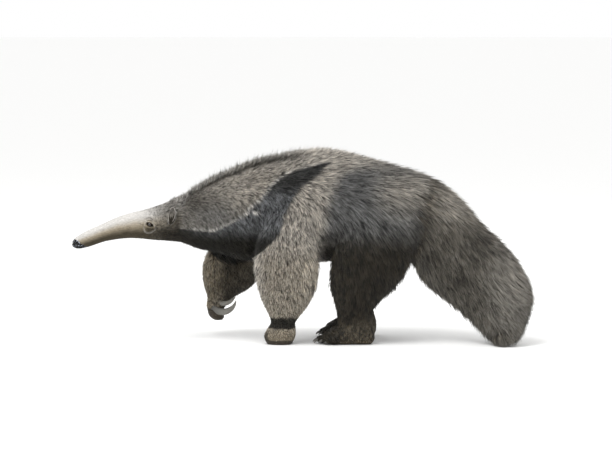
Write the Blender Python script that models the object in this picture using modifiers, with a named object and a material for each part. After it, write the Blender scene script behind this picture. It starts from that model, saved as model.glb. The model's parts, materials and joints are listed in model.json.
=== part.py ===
"""A life-size giant anteater in mid stride, as a museum model.

The animal walks towards -X with its left side towards -Y. The origin is on the floor under the
middle of its bounding box, and one unit is one metre. The hide is lofted, blended and then parted
with thin cuts into neck, torso, legs and tail. The head, feet, ears, eyes and claws are modelled
on their own. Coarse locks make the crest, the fringes and the brush of the tail.
"""

import math
import random

import bmesh
import bpy
import numpy as np
from mathutils import Matrix, Vector
from mathutils.bvhtree import BVHTree

# Driving dimensions, in metres.
GAP = 0.0003
# The stations are measured from the spine's plane. The middle of the whole lies this far from it.
MIDDLE = Vector((0.0046, -0.0080, 0.0))
SIDE_OF_LEG = 0.104
NEAR_WRIST_HEIGHT = 0.064
FAR_WRIST_HEIGHT = 0.1125
ANKLE_HEIGHT = 0.084
EYE_RADIUS = 0.0075
EYE_PLACE = Vector((-0.4485, -0.0345, 0.3505))
EAR_LENGTH = 0.054
EAR_WALL = 0.003
EAR_PLACE = Vector((-0.3825, -0.0550, 0.3770))
HIDE_VOXEL = 0.0065
HIDE_TRIANGLES = 1770
LOCK_SEED = 11
LOCK_SINK = 0.011
# Share of its length at which a lock is widest, and its width at the root and near the tip.
LOCK_SHAPE = ((0.0, 0.40), (0.40, 1.0), (0.75, 0.72), (1.0, 0.0))
# Where a lock on the hide leaves it: share of its length, share of its sink, share of its lift.
LOCK_RISE = ((0.0, 1.0, 0.0), (0.25, 0.15, 0.0), (0.60, 0.0, 0.70), (1.0, 0.0, 1.0))

# The lower lip on the right side, from the tip of the snout back to the corner of the mouth.
LIP_POINTS = (
    (-0.6790, 0.0020, 0.2795),
    (-0.6735, 0.0078, 0.2785),
    (-0.6660, 0.0112, 0.2780),
    (-0.6570, 0.0135, 0.2788),
    (-0.6480, 0.0150, 0.2805),
)

# Cuts that part the animal: a point on each and the way it faces.
HEAD_CUT = (Vector((-0.355, 0, 0.36)), Vector((-0.97, 0, 0.243)))
NECK_CUT = (Vector((-0.205, 0, 0.39)), Vector((-0.92, 0, 0.39)))
TAIL_CUT = (Vector((0.339, 0, 0.235)), Vector((0.991, 0, -0.132)))

# Trunk stations from the snout to the rump: x, top, underside, half width, waist height share.
HEAD_STATIONS = (
    (-0.6835, 0.2935, 0.2835, 0.0060, 0.50),
    (-0.6815, 0.2990, 0.2795, 0.0105, 0.50),
    (-0.6740, 0.3075, 0.2755, 0.0145, 0.50),
    (-0.6610, 0.3175, 0.2735, 0.0178, 0.50),
    (-0.6360, 0.3310, 0.2785, 0.0205, 0.49),
    (-0.6120, 0.3415, 0.2865, 0.0225, 0.48),
    (-0.5880, 0.3522, 0.2945, 0.0247, 0.48),
    (-0.5640, 0.3635, 0.2995, 0.0270, 0.47),
    (-0.5400, 0.3730, 0.3030, 0.0295, 0.47),
    (-0.5160, 0.3805, 0.3050, 0.0322, 0.46),
    (-0.4920, 0.3867, 0.3050, 0.0352, 0.46),
    (-0.4680, 0.3920, 0.3035, 0.0385, 0.46),
    (-0.4440, 0.3990, 0.3012, 0.0425, 0.46),
    (-0.4200, 0.4065, 0.2997, 0.0462, 0.46),
    (-0.3930, 0.4170, 0.2985, 0.0500, 0.46),
    (-0.3480, 0.4400, 0.2900, 0.0570, 0.46),
    (-0.3000, 0.4690, 0.2725, 0.0680, 0.46),
)
BODY_STATIONS = (
    (-0.4440, 0.3990, 0.3012, 0.0425, 0.46),
    (-0.3930, 0.4170, 0.2985, 0.0500, 0.46),
    (-0.3480, 0.4400, 0.2900, 0.0570, 0.46),
    (-0.3000, 0.4690, 0.2725, 0.0680, 0.46),
    (-0.2250, 0.5040, 0.2610, 0.0880, 0.45),
    (-0.1500, 0.5360, 0.2450, 0.1080, 0.45),
    (-0.0750, 0.5560, 0.2340, 0.1240, 0.45),
    (0.0000, 0.5700, 0.2330, 0.1380, 0.45),
    (0.0750, 0.5770, 0.2420, 0.1480, 0.45),
    (0.1500, 0.5650, 0.2500, 0.1520, 0.45),
    (0.2250, 0.5460, 0.2550, 0.1490, 0.45),
    (0.3000, 0.5240, 0.2620, 0.1360, 0.46),
    (0.3600, 0.5070, 0.2900, 0.1130, 0.48),
    (0.4100, 0.4810, 0.3300, 0.0820, 0.50),
    (0.4440, 0.4500, 0.3650, 0.0420, 0.50),
)

# Limb stations from top to bottom: height, x, half length, sideways place, half width.
NEAR_ARM = (
    (0.5060, 0.0540, 0.0400, 0.072, 0.034),
    (0.4310, 0.0150, 0.0700, 0.086, 0.050),
    (0.3550, -0.0240, 0.0860, 0.097, 0.059),
    (0.2800, -0.0400, 0.0920, 0.104, 0.061),
    (0.2200, -0.0420, 0.0930, 0.107, 0.059),
    (0.1600, -0.0400, 0.0850, 0.107, 0.053),
    (0.1145, -0.0420, 0.0670, 0.106, 0.045),
    (0.0840, -0.0460, 0.0500, 0.105, 0.038),
    (0.0630, -0.0500, 0.0410, 0.104, 0.034),
    (0.0500, -0.0525, 0.0400, 0.104, 0.034),
)
FAR_ARM = (
    (0.4900, 0.0200, 0.0400, 0.072, 0.034),
    (0.4115, -0.0150, 0.0750, 0.086, 0.050),
    (0.3450, -0.0750, 0.0960, 0.096, 0.058),
    (0.2910, -0.1400, 0.1080, 0.103, 0.060),
    (0.2460, -0.1870, 0.1000, 0.106, 0.059),
    (0.2066, -0.2070, 0.0930, 0.107, 0.057),
    (0.1765, -0.2130, 0.0870, 0.107, 0.053),
    (0.1524, -0.2210, 0.0760, 0.106, 0.048),
    (0.1370, -0.2300, 0.0620, 0.105, 0.043),
    (0.1220, -0.2410, 0.0470, 0.104, 0.038),
    (0.1070, -0.2475, 0.0380, 0.103, 0.035),
    (0.0950, -0.2520, 0.0330, 0.102, 0.034),
)
HIND_LEG = (
    (0.4610, 0.2850, 0.0850, 0.066, 0.055),
    (0.4006, 0.2600, 0.1150, 0.078, 0.068),
    (0.3400, 0.2330, 0.1230, 0.087, 0.074),
    (0.2800, 0.2140, 0.1170, 0.094, 0.072),
    (0.2330, 0.2060, 0.1120, 0.098, 0.066),
    (0.1860, 0.1900, 0.1000, 0.101, 0.058),
    (0.1550, 0.1770, 0.0870, 0.103, 0.052),
    (0.1230, 0.1650, 0.0650, 0.104, 0.046),
    (0.0980, 0.1610, 0.0565, 0.105, 0.041),
    (0.0730, 0.1620, 0.0570, 0.105, 0.039),
    (0.0550, 0.1620, 0.0600, 0.105, 0.039),
)
# Fist stations, top to bottom in the same form: the planted one and the lifted one.
NEAR_FIST = (
    (0.0660, -0.0495, 0.0420, 0.104, 0.0345),
    (0.0550, -0.0520, 0.0405, 0.104, 0.0340),
    (0.0450, -0.0550, 0.0430, 0.104, 0.0360),
    (0.0270, -0.0595, 0.0480, 0.103, 0.0390),
    (0.0100, -0.0610, 0.0440, 0.102, 0.0370),
    (-0.0020, -0.0610, 0.0360, 0.102, 0.0310),
)
FAR_FIST = (
    (0.1140, -0.2455, 0.0400, 0.1035, 0.0360),
    (0.1030, -0.2510, 0.0350, 0.103, 0.0350),
    (0.0900, -0.2560, 0.0300, 0.103, 0.0350),
    (0.0780, -0.2570, 0.0270, 0.103, 0.0355),
    (0.0660, -0.2560, 0.0255, 0.103, 0.0350),
    (0.0560, -0.2520, 0.0230, 0.103, 0.0320),
    (0.0480, -0.2490, 0.0150, 0.103, 0.0220),
)
# Hind foot stations from heel to toes: x, top, sole, half width.
HIND_FOOT = (
    (0.2200, 0.0420, 0.0120, 0.0140),
    (0.2110, 0.0700, -0.0010, 0.0290),
    (0.1880, 0.0820, -0.0020, 0.0350),
    (0.1550, 0.0800, -0.0020, 0.0380),
    (0.1250, 0.0640, -0.0020, 0.0410),
    (0.1000, 0.0500, -0.0015, 0.0430),
    (0.0800, 0.0400, 0.0010, 0.0400),
    (0.0700, 0.0300, 0.0080, 0.0300),
)
# Hind toes, inner to outer: sideways offset inwards, tip x, radius.
HIND_TOES = (
    (0.030, 0.0560, 0.0090),
    (0.014, 0.0480, 0.0100),
    (-0.002, 0.0520, 0.0100),
    (-0.017, 0.0640, 0.0095),
    (-0.030, 0.0820, 0.0085),
)
# Brush of the tail, section by section: back edge x, z, under edge x, z, half width.
TAIL_STATIONS = (
    (0.3300, 0.5140, 0.3080, 0.2550, 0.1220),
    (0.3780, 0.5080, 0.3350, 0.2330, 0.1180),
    (0.4480, 0.4680, 0.3480, 0.1860, 0.1060),
    (0.5020, 0.4190, 0.3830, 0.1420, 0.0930),
    (0.5440, 0.3630, 0.4250, 0.1150, 0.0840),
    (0.5960, 0.3190, 0.4610, 0.0930, 0.0800),
    (0.6420, 0.2680, 0.4920, 0.0690, 0.0770),
    (0.6760, 0.2080, 0.5200, 0.0440, 0.0710),
    (0.6900, 0.1480, 0.5460, 0.0270, 0.0620),
    (0.6720, 0.0950, 0.5610, 0.0110, 0.0500),
    (0.6440, 0.0430, 0.5760, 0.0010, 0.0340),
    (0.6050, 0.0060, 0.5930, 0.0020, 0.0060),
)
TAIL_SWING = -0.17
# The far hind leg stands this much further back than the near one.
FAR_HIND_SHIFT = 0.010

# Spaces that the legs are parted in: side, x from, x to, height of the cut next to the body and away.
LIMB_SPACES = (
    ("leg_front_left", -1, -0.40, 0.085, 0.190, 0.430),
    ("leg_front_right", 1, -0.40, 0.085, 0.190, 0.430),
    ("leg_hind_left", -1, 0.086, 0.50, 0.205, 0.450),
    ("leg_hind_right", 1, 0.086, 0.50, 0.205, 0.450),
)

# How deep the tail's locks are rooted: place along the tail, share of the brush's radius.
TAIL_ROOTS = ((0.0, 0.93), (0.12, 0.82), (0.22, 0.55), (0.32, 0.36), (1.0, 0.36))

# The tail's locks: width along the tail, thickness, and how much of the brush's radius is solid.
TAIL_LOCK_WIDTH = ((0.0, 0.058), (0.5, 0.054), (1.0, 0.034))
TAIL_LOCK_THICKNESS = 0.009
TAIL_CORE = 0.50
# How far the tips of its locks reach, so that their broad parts fill the brush's outline.
TAIL_REACH = 1.07

# How many locks: along the crest, along each side of the belly, in rings round the tail.
CREST_LOCKS = 22
BELLY_LOCKS = 7
TAIL_RINGS = 8
TAIL_AROUND = (9, 8, 6)
# Crest locks: width and thickness. Fringe locks of belly and limbs: length, lift, width, thickness.
CREST_SIZE = (0.022, 0.007)
FRINGE_SIZE = (0.070, 0.009, 0.030, 0.008)
# The arms' fringes run between these heights, the legs' behind and in front between those.
NEAR_ARM_FRINGE = (0.115, 0.27)
FAR_ARM_FRINGE = (0.150, 0.27)
LEG_BACK_FRINGE = (0.125, 0.33)
LEG_FRONT_FRINGE = (0.135, 0.27)

# Foreclaws: radius at the root, then the points that the middle line runs through.
NEAR_CLAWS = (
    (
        0.0075,
        ((-0.088, -0.076, 0.028), (-0.072, -0.061, 0.021), (-0.050, -0.056, 0.015), (-0.026, -0.060, 0.0125)),
    ),
    (
        0.0062,
        ((-0.080, -0.076, 0.046), (-0.066, -0.062, 0.041), (-0.048, -0.058, 0.035), (-0.030, -0.062, 0.031)),
    ),
    (
        0.0042,
        ((-0.098, -0.088, 0.023), (-0.099, -0.072, 0.015), (-0.090, -0.063, 0.010), (-0.080, -0.061, 0.008)),
    ),
)
FAR_CLAWS = (
    (
        0.0088,
        (
            (-0.256, 0.088, 0.086),
            (-0.242, 0.083, 0.0745),
            (-0.222, 0.081, 0.0750),
            (-0.206, 0.082, 0.0870),
            (-0.196, 0.085, 0.1040),
            (-0.191, 0.087, 0.1210),
        ),
    ),
    (
        0.0068,
        ((-0.250, 0.102, 0.100), (-0.230, 0.099, 0.094), (-0.213, 0.098, 0.097), (-0.199, 0.100, 0.108)),
    ),
    (
        0.0050,
        ((-0.252, 0.120, 0.078), (-0.236, 0.121, 0.071), (-0.222, 0.121, 0.074), (-0.212, 0.120, 0.083)),
    ),
)

# Coat colours as sRGB hex.
COLOURS = {
    "grizzled_coat": "6b645c",
    "black_coat": "23221f",
    "pale_coat": "a59c90",
    "snout_skin": "b3a595",
    "sole_skin": "45413a",
    "claw_horn": "8b8983",
    "eye_wet": "120d0a",
}


def clear_scene():
    for obj in list(bpy.data.objects):
        bpy.data.objects.remove(obj, do_unlink=True)


def new_collection(name):
    made = bpy.data.collections.new(name)
    bpy.context.scene.collection.children.link(made)
    return made


def linear(hex_colour):
    """An sRGB hex colour as linear RGBA."""
    shares = [int(hex_colour[i : i + 2], 16) / 255 for i in (0, 2, 4)]
    return [s / 12.92 if s <= 0.04045 else ((s + 0.055) / 1.055) ** 2.4 for s in shares] + [1.0]


def material(name, roughness=0.85):
    made = bpy.data.materials.new(name)
    made.use_nodes = True
    shader = made.node_tree.nodes["Principled BSDF"]
    shader.inputs["Base Color"].default_value = linear(COLOURS[name])
    shader.inputs["Roughness"].default_value = roughness
    shader.inputs["Metallic"].default_value = 0.0
    made.diffuse_color = linear(COLOURS[name])
    return made


def smooth_rows(rows, steps):
    """Rows read off a Catmull-Rom curve through the stations, with this many to each span."""
    rows = np.array(rows, float)
    padded = np.vstack([2 * rows[0] - rows[1], rows, 2 * rows[-1] - rows[-2]])
    found = []
    for i in range(len(rows) - 1):
        a, b, c, d = padded[i : i + 4]
        for t in np.arange(steps) / steps:
            cubic = 2 * b + (c - a) * t
            cubic += (2 * a - 5 * b + 4 * c - d) * t**2 + (3 * b - a - 3 * c + d) * t**3
            found.append(0.5 * cubic)
    found.append(rows[-1])
    return np.array(found)


def row_at(rows, place):
    """The row at a fractional place along smoothed rows, place running from 0 to 1."""
    at = min(max(place, 0.0), 1.0) * (len(rows) - 1)
    low = min(int(at), len(rows) - 2)
    return rows[low] * (1 - at + low) + rows[low + 1] * (at - low)


def rounded(angle, power):
    """Cosine and sine on a superellipse, power 2 being a plain ellipse."""
    c, s = math.cos(angle), math.sin(angle)
    return (
        math.copysign(abs(c) ** (2 / power), c),
        math.copysign(abs(s) ** (2 / power), s),
    )


def trunk_ring(row, around):
    """An upright egg section across X, fuller below its waist than above it."""
    x, top, under, half, share = row
    waist = under + share * (top - under)
    ring = []
    for k in range(around):
        across, up = rounded(2 * math.pi * k / around, 2.15)
        rise = (top - waist) if up > 0 else (waist - under)
        ring.append(Vector((x, half * across, waist + rise * up)))
    return ring


def limb_ring(row, around, side):
    """A level oval section of a limb on the side given as -1 for left or 1 for right."""
    z, x, half_length, place, half_width = row
    ring = []
    for k in range(around):
        along, across = rounded(2 * math.pi * k / around, 2.2)
        ring.append(Vector((x + half_length * along, side * place + half_width * across, z)))
    return ring


def tube_rings(path, radii, around, flat=1.0):
    """Rings square to a path. flat is the sideways share of each radius."""
    rings = []
    for i, (point, radius) in enumerate(zip(path, radii)):
        along = (path[min(i + 1, len(path) - 1)] - path[max(i - 1, 0)]).normalized()
        sideways = along.cross(Vector((0, 0, 1)))
        sideways = (sideways if sideways.length > 0.05 else along.cross(Vector((1, 0, 0)))).normalized()
        up = sideways.cross(along).normalized()
        rings.append(
            [
                point + radius * (flat * math.cos(a) * sideways + math.sin(a) * up)
                for a in (2 * math.pi * k / around for k in range(around))
            ]
        )
    return rings


def loft(name, rings, collection, tip=None):
    """A closed body through rings of equal count, ending in a cap or in a tip point."""
    bm = bmesh.new()
    layers = [[bm.verts.new(p) for p in ring] for ring in rings]
    count = len(layers[0])
    for low, high in zip(layers, layers[1:]):
        for k in range(count):
            j = (k + 1) % count
            bm.faces.new((low[k], low[j], high[j], high[k]))
    bm.faces.new(list(reversed(layers[0])))
    if tip is None:
        bm.faces.new(layers[-1])
    else:
        point = bm.verts.new(tip)
        for k in range(count):
            bm.faces.new((layers[-1][k], layers[-1][(k + 1) % count], point))
    bmesh.ops.recalc_face_normals(bm, faces=bm.faces)
    return mesh_object(name, bm, collection)


def mesh_object(name, bm, collection):
    """An object holding this bmesh, turned outwards if its faces point in."""
    if bm.calc_volume(signed=True) < 0:
        bmesh.ops.reverse_faces(bm, faces=bm.faces)
    mesh = bpy.data.meshes.new(name)
    bm.to_mesh(mesh)
    bm.free()
    obj = bpy.data.objects.new(name, mesh)
    collection.objects.link(obj)
    return obj


def ball(name, centre, radii, collection, segments=12, rings=7):
    bm = bmesh.new()
    bmesh.ops.create_uvsphere(bm, u_segments=segments, v_segments=rings, radius=1.0)
    bmesh.ops.scale(bm, vec=Vector(radii), verts=bm.verts)
    bmesh.ops.translate(bm, vec=centre, verts=bm.verts)
    return mesh_object(name, bm, collection)


def applied(obj):
    """The object with its modifiers made part of its mesh."""
    bpy.context.view_layer.update()
    graph = bpy.context.evaluated_depsgraph_get()
    mesh = bpy.data.meshes.new_from_object(obj.evaluated_get(graph))
    obj.modifiers.clear()
    obj.data = mesh
    return obj


def combine(target, others, operation, solver="MANIFOLD"):
    """One Boolean of the target with a collection of closed bodies, which are then removed."""
    group = new_collection("others_of_" + target.name)
    for other in others:
        for home in list(other.users_collection):
            home.objects.unlink(other)
        group.objects.link(other)
    boolean = target.modifiers.new(operation.lower(), "BOOLEAN")
    boolean.operation = operation
    boolean.operand_type = "COLLECTION"
    boolean.collection = group
    boolean.solver = solver
    applied(target)
    for other in list(group.objects):
        bpy.data.objects.remove(other, do_unlink=True)
    bpy.data.collections.remove(group)
    return target


def keep_largest(obj):
    """Leaves only the closed surface of greatest volume: no sealed hollow and no loose scrap."""
    bm = bmesh.new()
    bm.from_mesh(obj.data)
    bmesh.ops.triangulate(bm, faces=bm.faces)
    left, shells = set(bm.faces), []
    while left:
        seed = left.pop()
        shell, front = [seed], [seed]
        while front:
            for edge in front.pop().edges:
                for face in edge.link_faces if len(edge.link_faces) == 2 else ():
                    if face in left:
                        left.discard(face)
                        shell.append(face)
                        front.append(face)
        shells.append(shell)
    volumes = [
        sum(f.verts[0].co.dot(f.verts[1].co.cross(f.verts[2].co)) for f in shell) for shell in shells
    ]
    best = volumes.index(max(volumes))
    drop = [face for i, shell in enumerate(shells) if i != best for face in shell]
    bmesh.ops.delete(bm, geom=drop, context="FACES")
    bm.to_mesh(obj.data)
    bm.free()
    return obj


def half_space(name, point, normal, collection, size=1.6):
    """A big cube with one face through the point. It fills the side that the normal faces."""
    bm = bmesh.new()
    bmesh.ops.create_cube(bm, size=size)
    turn = normal.normalized().to_track_quat("Z", "Y").to_matrix().to_4x4()
    place = Matrix.Translation(point + normal.normalized() * size / 2)
    bmesh.ops.transform(bm, matrix=place @ turn, verts=bm.verts)
    return mesh_object(name, bm, collection)


def limb_space(name, side, x_low, x_high, inner, outer, collection, grow=0.0):
    """A cube whose top face slopes up away from the body, round one limb."""
    bm = bmesh.new()
    bmesh.ops.create_cube(bm, size=1.0)
    for vert in bm.verts:
        far = vert.co.y > 0
        vert.co.x = x_high + grow if vert.co.x > 0 else x_low - grow
        vert.co.y = side * (0.30 if far else 0.004 - grow)
        vert.co.z = ((outer if far else inner) + grow) if vert.co.z > 0 else -0.2
    bmesh.ops.recalc_face_normals(bm, faces=bm.faces)
    return mesh_object(name, bm, collection)


def copy_of(obj, name, collection):
    made = bpy.data.objects.new(name, obj.data.copy())
    collection.objects.link(made)
    return made


def make_hide(work):
    """Trunk and limbs in one smooth skin, without head, feet or tail."""
    trunk = loft("hide", [trunk_ring(r, 36) for r in smooth_rows(BODY_STATIONS, 2)], work)
    limbs = [
        loft("arm_left", [limb_ring(r, 28, -1) for r in smooth_rows(NEAR_ARM, 2)], work),
        loft("arm_right", [limb_ring(r, 28, 1) for r in smooth_rows(FAR_ARM, 2)], work),
        loft("leg_left", [limb_ring(r, 28, -1) for r in smooth_rows(HIND_LEG, 2)], work),
        loft(
            "leg_right",
            [limb_ring(r, 28, 1) for r in smooth_rows(shifted(HIND_LEG, 1, FAR_HIND_SHIFT), 2)],
            work,
        ),
    ]
    combine(trunk, limbs, "UNION")
    remesh = trunk.modifiers.new("blend", "REMESH")
    remesh.mode = "VOXEL"
    remesh.voxel_size = HIDE_VOXEL
    soften = trunk.modifiers.new("soften", "SMOOTH")
    soften.factor = 0.5
    soften.iterations = 9
    applied(trunk)
    trim = trunk.modifiers.new("trim", "DECIMATE")
    trim.ratio = HIDE_TRIANGLES / (2 * len(trunk.data.polygons))
    return applied(trunk)


def tail_point(rows, place, angle, share):
    """A point in the brush: place along it, angle round it from its under edge, share of its radius."""
    back_x, back_z, under_x, under_z, half = row_at(rows, place)
    swing = TAIL_SWING * place**1.5
    middle = Vector(((back_x + under_x) / 2, swing, (back_z + under_z) / 2))
    down = Vector(((under_x - back_x) / 2, 0, (under_z - back_z) / 2))
    return middle + share * (math.cos(angle) * down + math.sin(angle) * Vector((0, half, 0)))


def core_share(place):
    """How much of the brush's radius is solid: all at the rump, half further out."""
    return max(TAIL_CORE, 0.98 - 1.75 * place)


def make_tail_core(rows, work):
    """The fleshy tail and the roots of its hair, at most half way out to the tips."""
    rings = []
    for i in range(0, len(rows), 2):
        place = i / (len(rows) - 1)
        share = core_share(place)
        rings.append([tail_point(rows, place, 2 * math.pi * k / 16, share) for k in range(16)])
    return loft("tail_core", rings, work)


def lock(points, outs, width, thick, collection):
    """One flat, tapered lock along its points, lying square to the outward directions."""
    rings, last = [], len(points) - 1
    for i in range(last):
        along = (points[i + 1] - points[max(i - 1, 0)]).normalized()
        across = along.cross(outs[i]).normalized()
        rise = across.cross(along)
        full = np.interp(i / last, *zip(*LOCK_SHAPE))
        wide, deep = across * width / 2 * full, rise * thick / 2 * (0.5 + 0.5 * full)
        rings.append([points[i] - wide, points[i] - deep, points[i] + wide, points[i] + deep])
    return loft("lock", rings, collection, points[-1])


def lie_path(skin, root, aim, length, lift, free=1.0, steps=4):
    """Points of a lock that is rooted under the skin, follows it and rises to its tip."""
    place, normal = skin.find_nearest(root)[:2]
    points, outs = [], []
    for k in range(steps + 1):
        share = k / steps
        sunk, raised = (np.interp(share, *zip(*((r[0], r[c]) for r in LOCK_RISE))) for c in (1, 2))
        points.append(place + normal * (lift * raised - LOCK_SINK * sunk))
        outs.append(normal)
        along = (aim - normal * aim.dot(normal)).normalized()
        place = place + along * length / steps
        if share < free:
            place, turned = skin.find_nearest(place)[:2]
            normal = normal.lerp(turned, 0.6).normalized()
    return points, outs


def node_at(point):
    """Which piece of the parted body this point falls in."""
    if (point - TAIL_CUT[0]).dot(TAIL_CUT[1]) > 0:
        return "tail"
    for name, side, x_low, x_high, inner, outer in LIMB_SPACES:
        share = (side * point.y - 0.004) / 0.296
        if share > 0 and x_low < point.x < x_high and point.z < inner + share * (outer - inner):
            return name
    if (point - HEAD_CUT[0]).dot(HEAD_CUT[1]) > 0:
        return "head"
    return "neck" if (point - NECK_CUT[0]).dot(NECK_CUT[1]) > 0 else "torso"


def rooted_lock(skin, root, aim, length, lift, width, thick, work, free=1.0, steps=4):
    """A lock on the skin, shortened until it stays within one piece of the body."""
    for shorter in (1.0, 0.75, 0.5, 0.35):
        points, outs = lie_path(skin, root, aim, length * shorter, lift, free, steps)
        edges = [
            point + sign * width / 2 * (points[-1] - points[0]).normalized().cross(out)
            for point, out in zip(points, outs)
            for sign in (-1, 1)
        ]
        if len({node_at(p) for p in edges + points}) == 1 and min(p.z for p in edges) > 0.012:
            return [lock(points, outs, width, thick, work)]
    return []


def cast(skin, start, towards):
    """Where a ray from outside first meets the skin."""
    return skin.ray_cast(Vector(start), Vector(towards))[0]


def crest_locks(skin, work):
    """The mane along the neck and back: longest over the shoulders."""
    made = []
    for i in range(CREST_LOCKS):
        x = -0.425 + 0.60 * i / (CREST_LOCKS - 1)
        y = random.uniform(-0.010, 0.010)
        height = np.interp(x, (-0.43, -0.30, 0.0, 0.20), (0.006, 0.011, 0.008, 0.005))
        root = cast(skin, (x, y, 0.9), (0, 0, -1))
        aim = Vector((1.0, random.uniform(-0.12, 0.12), 0))
        length = np.interp(x, (-0.43, -0.25, 0.1), (0.045, 0.075, 0.085)) * random.uniform(0.9, 1.1)
        made += rooted_lock(skin, root, aim, length, height, *CREST_SIZE, work)
    return made


def belly_locks(skin, side, work):
    """Hair that hangs in points along both sides of the throat, chest and belly."""
    made = []
    for i in range(BELLY_LOCKS):
        x = -0.33 + 0.62 * i / (BELLY_LOCKS - 1)
        y = side * np.interp(x, (-0.35, 0.0, 0.3), (0.020, 0.050, 0.060))
        root = cast(skin, (x, y, 0.02), (0, 0, 1))
        if root is None or root.z > 0.33:
            continue
        aim = Vector((1.0, side * 0.1, -0.35)).normalized()
        made += rooted_lock(skin, root, aim, *FRINGE_SIZE, work, 0.6)
    return made


def limb_locks(skin, side, rows, heights, backs, count, work):
    """Fringes down the back edge of a limb, pointing down and a little away from it."""
    made, (low, high) = [], heights
    table = sorted(rows)
    for i in range(count):
        z = high + (low - high) * i / (count - 1) + random.uniform(-0.005, 0.005)
        x, half, y, wide = (np.interp(z, [r[0] for r in table], [r[c] for r in table]) for c in (1, 2, 3, 4))
        turn = math.radians((-34, 0, 34, -17, 17)[i % 5])
        out = Vector((backs * math.cos(turn), math.sin(turn), 0))
        start = Vector((x, side * y, z)) + Vector((out.x * half, out.y * wide, 0))
        aim = Vector((0.25 * backs, 0, -1.0)).normalized()
        made += rooted_lock(skin, start, aim, *FRINGE_SIZE, work, 0.6)
    return made


def tail_locks(rows, work):
    """Rings of long locks round the tail. They sweep along it, sag, and meet at its tip."""
    made = []
    for i in range(TAIL_RINGS):
        place = 0.045 + 0.79 * i / (TAIL_RINGS - 1)
        around = round(np.interp(place, (0.0, 0.5, 0.85), TAIL_AROUND))
        for k in range(around):
            angle = math.pi * (2 * (k + 0.5 * (i % 2) + random.uniform(-0.2, 0.2)) / around - 1)
            reach, end = random.uniform(0.26, 0.34), random.uniform(0.93, 0.99)
            points, outs = [], []
            for step in range(5):
                share = step / 4
                at = place + min(reach, end - place) * share
                sag = angle - 0.40 * share * math.sin(angle)
                inner = float(np.interp(place, *zip(*TAIL_ROOTS)))
                radius = inner + (TAIL_REACH - inner) * share**0.6
                points.append(tail_point(rows, at, sag, radius))
                outs.append((points[-1] - tail_point(rows, at, sag, 0)).normalized())
            width = np.interp(place, *zip(*TAIL_LOCK_WIDTH))
            made.append(lock(points, outs, width, TAIL_LOCK_THICKNESS, work))
    return made


def make_head(work):
    """Snout and skull, with nostrils, the small mouth, lips, lids and eye sockets."""
    rows = smooth_rows(HEAD_STATIONS, 2)
    head = loft("head", [trunk_ring(r, 20) for r in rows], work)
    added, cut = [], []
    for side in (-1, 1):
        eye = Vector((EYE_PLACE.x, -side * EYE_PLACE.y, EYE_PLACE.z))
        for lid, (low, high) in (("upper", (0.05, 0.95)), ("lower", (-0.92, -0.08))):
            path = []
            for k in range(7):
                angle = math.pi * (low + (high - low) * k / 6)
                path.append(
                    eye
                    + Vector((1.25 * EYE_RADIUS * math.cos(angle), 0, 0.92 * EYE_RADIUS * math.sin(angle)))
                    + Vector((0, side * (0.0055 - 0.0035 * abs(math.cos(angle))), 0))
                )
            radii = [0.0012 + 0.0022 * math.sin(math.pi * k / 6) for k in range(7)]
            added.append(loft(f"lid_{lid}_{side}", tube_rings(path, radii, 6), work))
        cut.append(ball(f"socket_{side}", eye, [EYE_RADIUS + GAP] * 3, work))
        nostril = Vector((-0.6815, side * 0.0058, 0.2925))
        cut.append(ball(f"nostril_{side}", nostril, (0.0055, 0.0023, 0.0036), work, 8, 6))
        lip = [Vector((x, side * y, z)) for x, y, z in LIP_POINTS]
        added.append(loft(f"lip_{side}", tube_rings(lip, [0.0010, 0.0020, 0.0022, 0.0020, 0.0010], 6), work))
    combine(head, added, "UNION")
    mouth = bmesh.new()
    bmesh.ops.create_cube(mouth, size=1.0)
    bmesh.ops.scale(mouth, vec=(0.038, 0.09, 0.0016), verts=mouth.verts)
    tilt = Matrix.Rotation(math.radians(-3), 3, "Y")
    bmesh.ops.rotate(mouth, cent=(0, 0, 0), matrix=tilt, verts=mouth.verts)
    bmesh.ops.translate(mouth, vec=(-0.6660, 0, 0.2806), verts=mouth.verts)
    slit = mesh_object("mouth_slit", mouth, work)
    keep = ball("mouth_core", Vector((-0.6500, 0, 0.2808)), (0.0290, 0.0135, 0.0060), work, 20, 8)
    combine(slit, [keep], "DIFFERENCE")
    keep_largest(slit)
    cut.append(slit)
    cut.append(half_space("behind_head", HEAD_CUT[0] - HEAD_CUT[1] * GAP * -0.5, -HEAD_CUT[1], work))
    combine(head, cut, "DIFFERENCE")
    return keep_largest(head)


def make_eye(name, side, work):
    return ball(name, Vector((EYE_PLACE.x, -side * EYE_PLACE.y, EYE_PLACE.z)), [EYE_RADIUS] * 3, work)


def make_ear(name, side, head, work):
    """A small rounded cup that stands out from the side of the head and opens forwards and outwards."""
    bm = bmesh.new()
    bmesh.ops.create_uvsphere(bm, u_segments=12, v_segments=8, radius=1.0)
    front = [v for v in bm.verts if v.co.x < -0.05]
    bmesh.ops.delete(bm, geom=front, context="VERTS")
    bmesh.ops.scale(bm, vec=(0.013, 0.0125, EAR_LENGTH / 2), verts=bm.verts)
    for vert in bm.verts:
        pinch = 1 - 0.35 * max(0.0, -vert.co.z / (EAR_LENGTH / 2))
        vert.co.y *= pinch
    turn = Matrix.Rotation(math.radians(-side * 53), 3, "Z") @ Matrix.Rotation(math.radians(16), 3, "Y")
    bmesh.ops.rotate(bm, cent=(0, 0, 0), matrix=turn, verts=bm.verts)
    place = Vector((EAR_PLACE.x, -side * EAR_PLACE.y, EAR_PLACE.z))
    bmesh.ops.translate(bm, vec=place, verts=bm.verts)
    mesh = bpy.data.meshes.new(name)
    bm.to_mesh(mesh)
    bm.free()
    ear = bpy.data.objects.new(name, mesh)
    work.objects.link(ear)
    wall = ear.modifiers.new("wall", "SOLIDIFY")
    wall.thickness = EAR_WALL
    wall.offset = 0
    applied(ear)
    return clear_of(ear, head, work)


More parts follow.
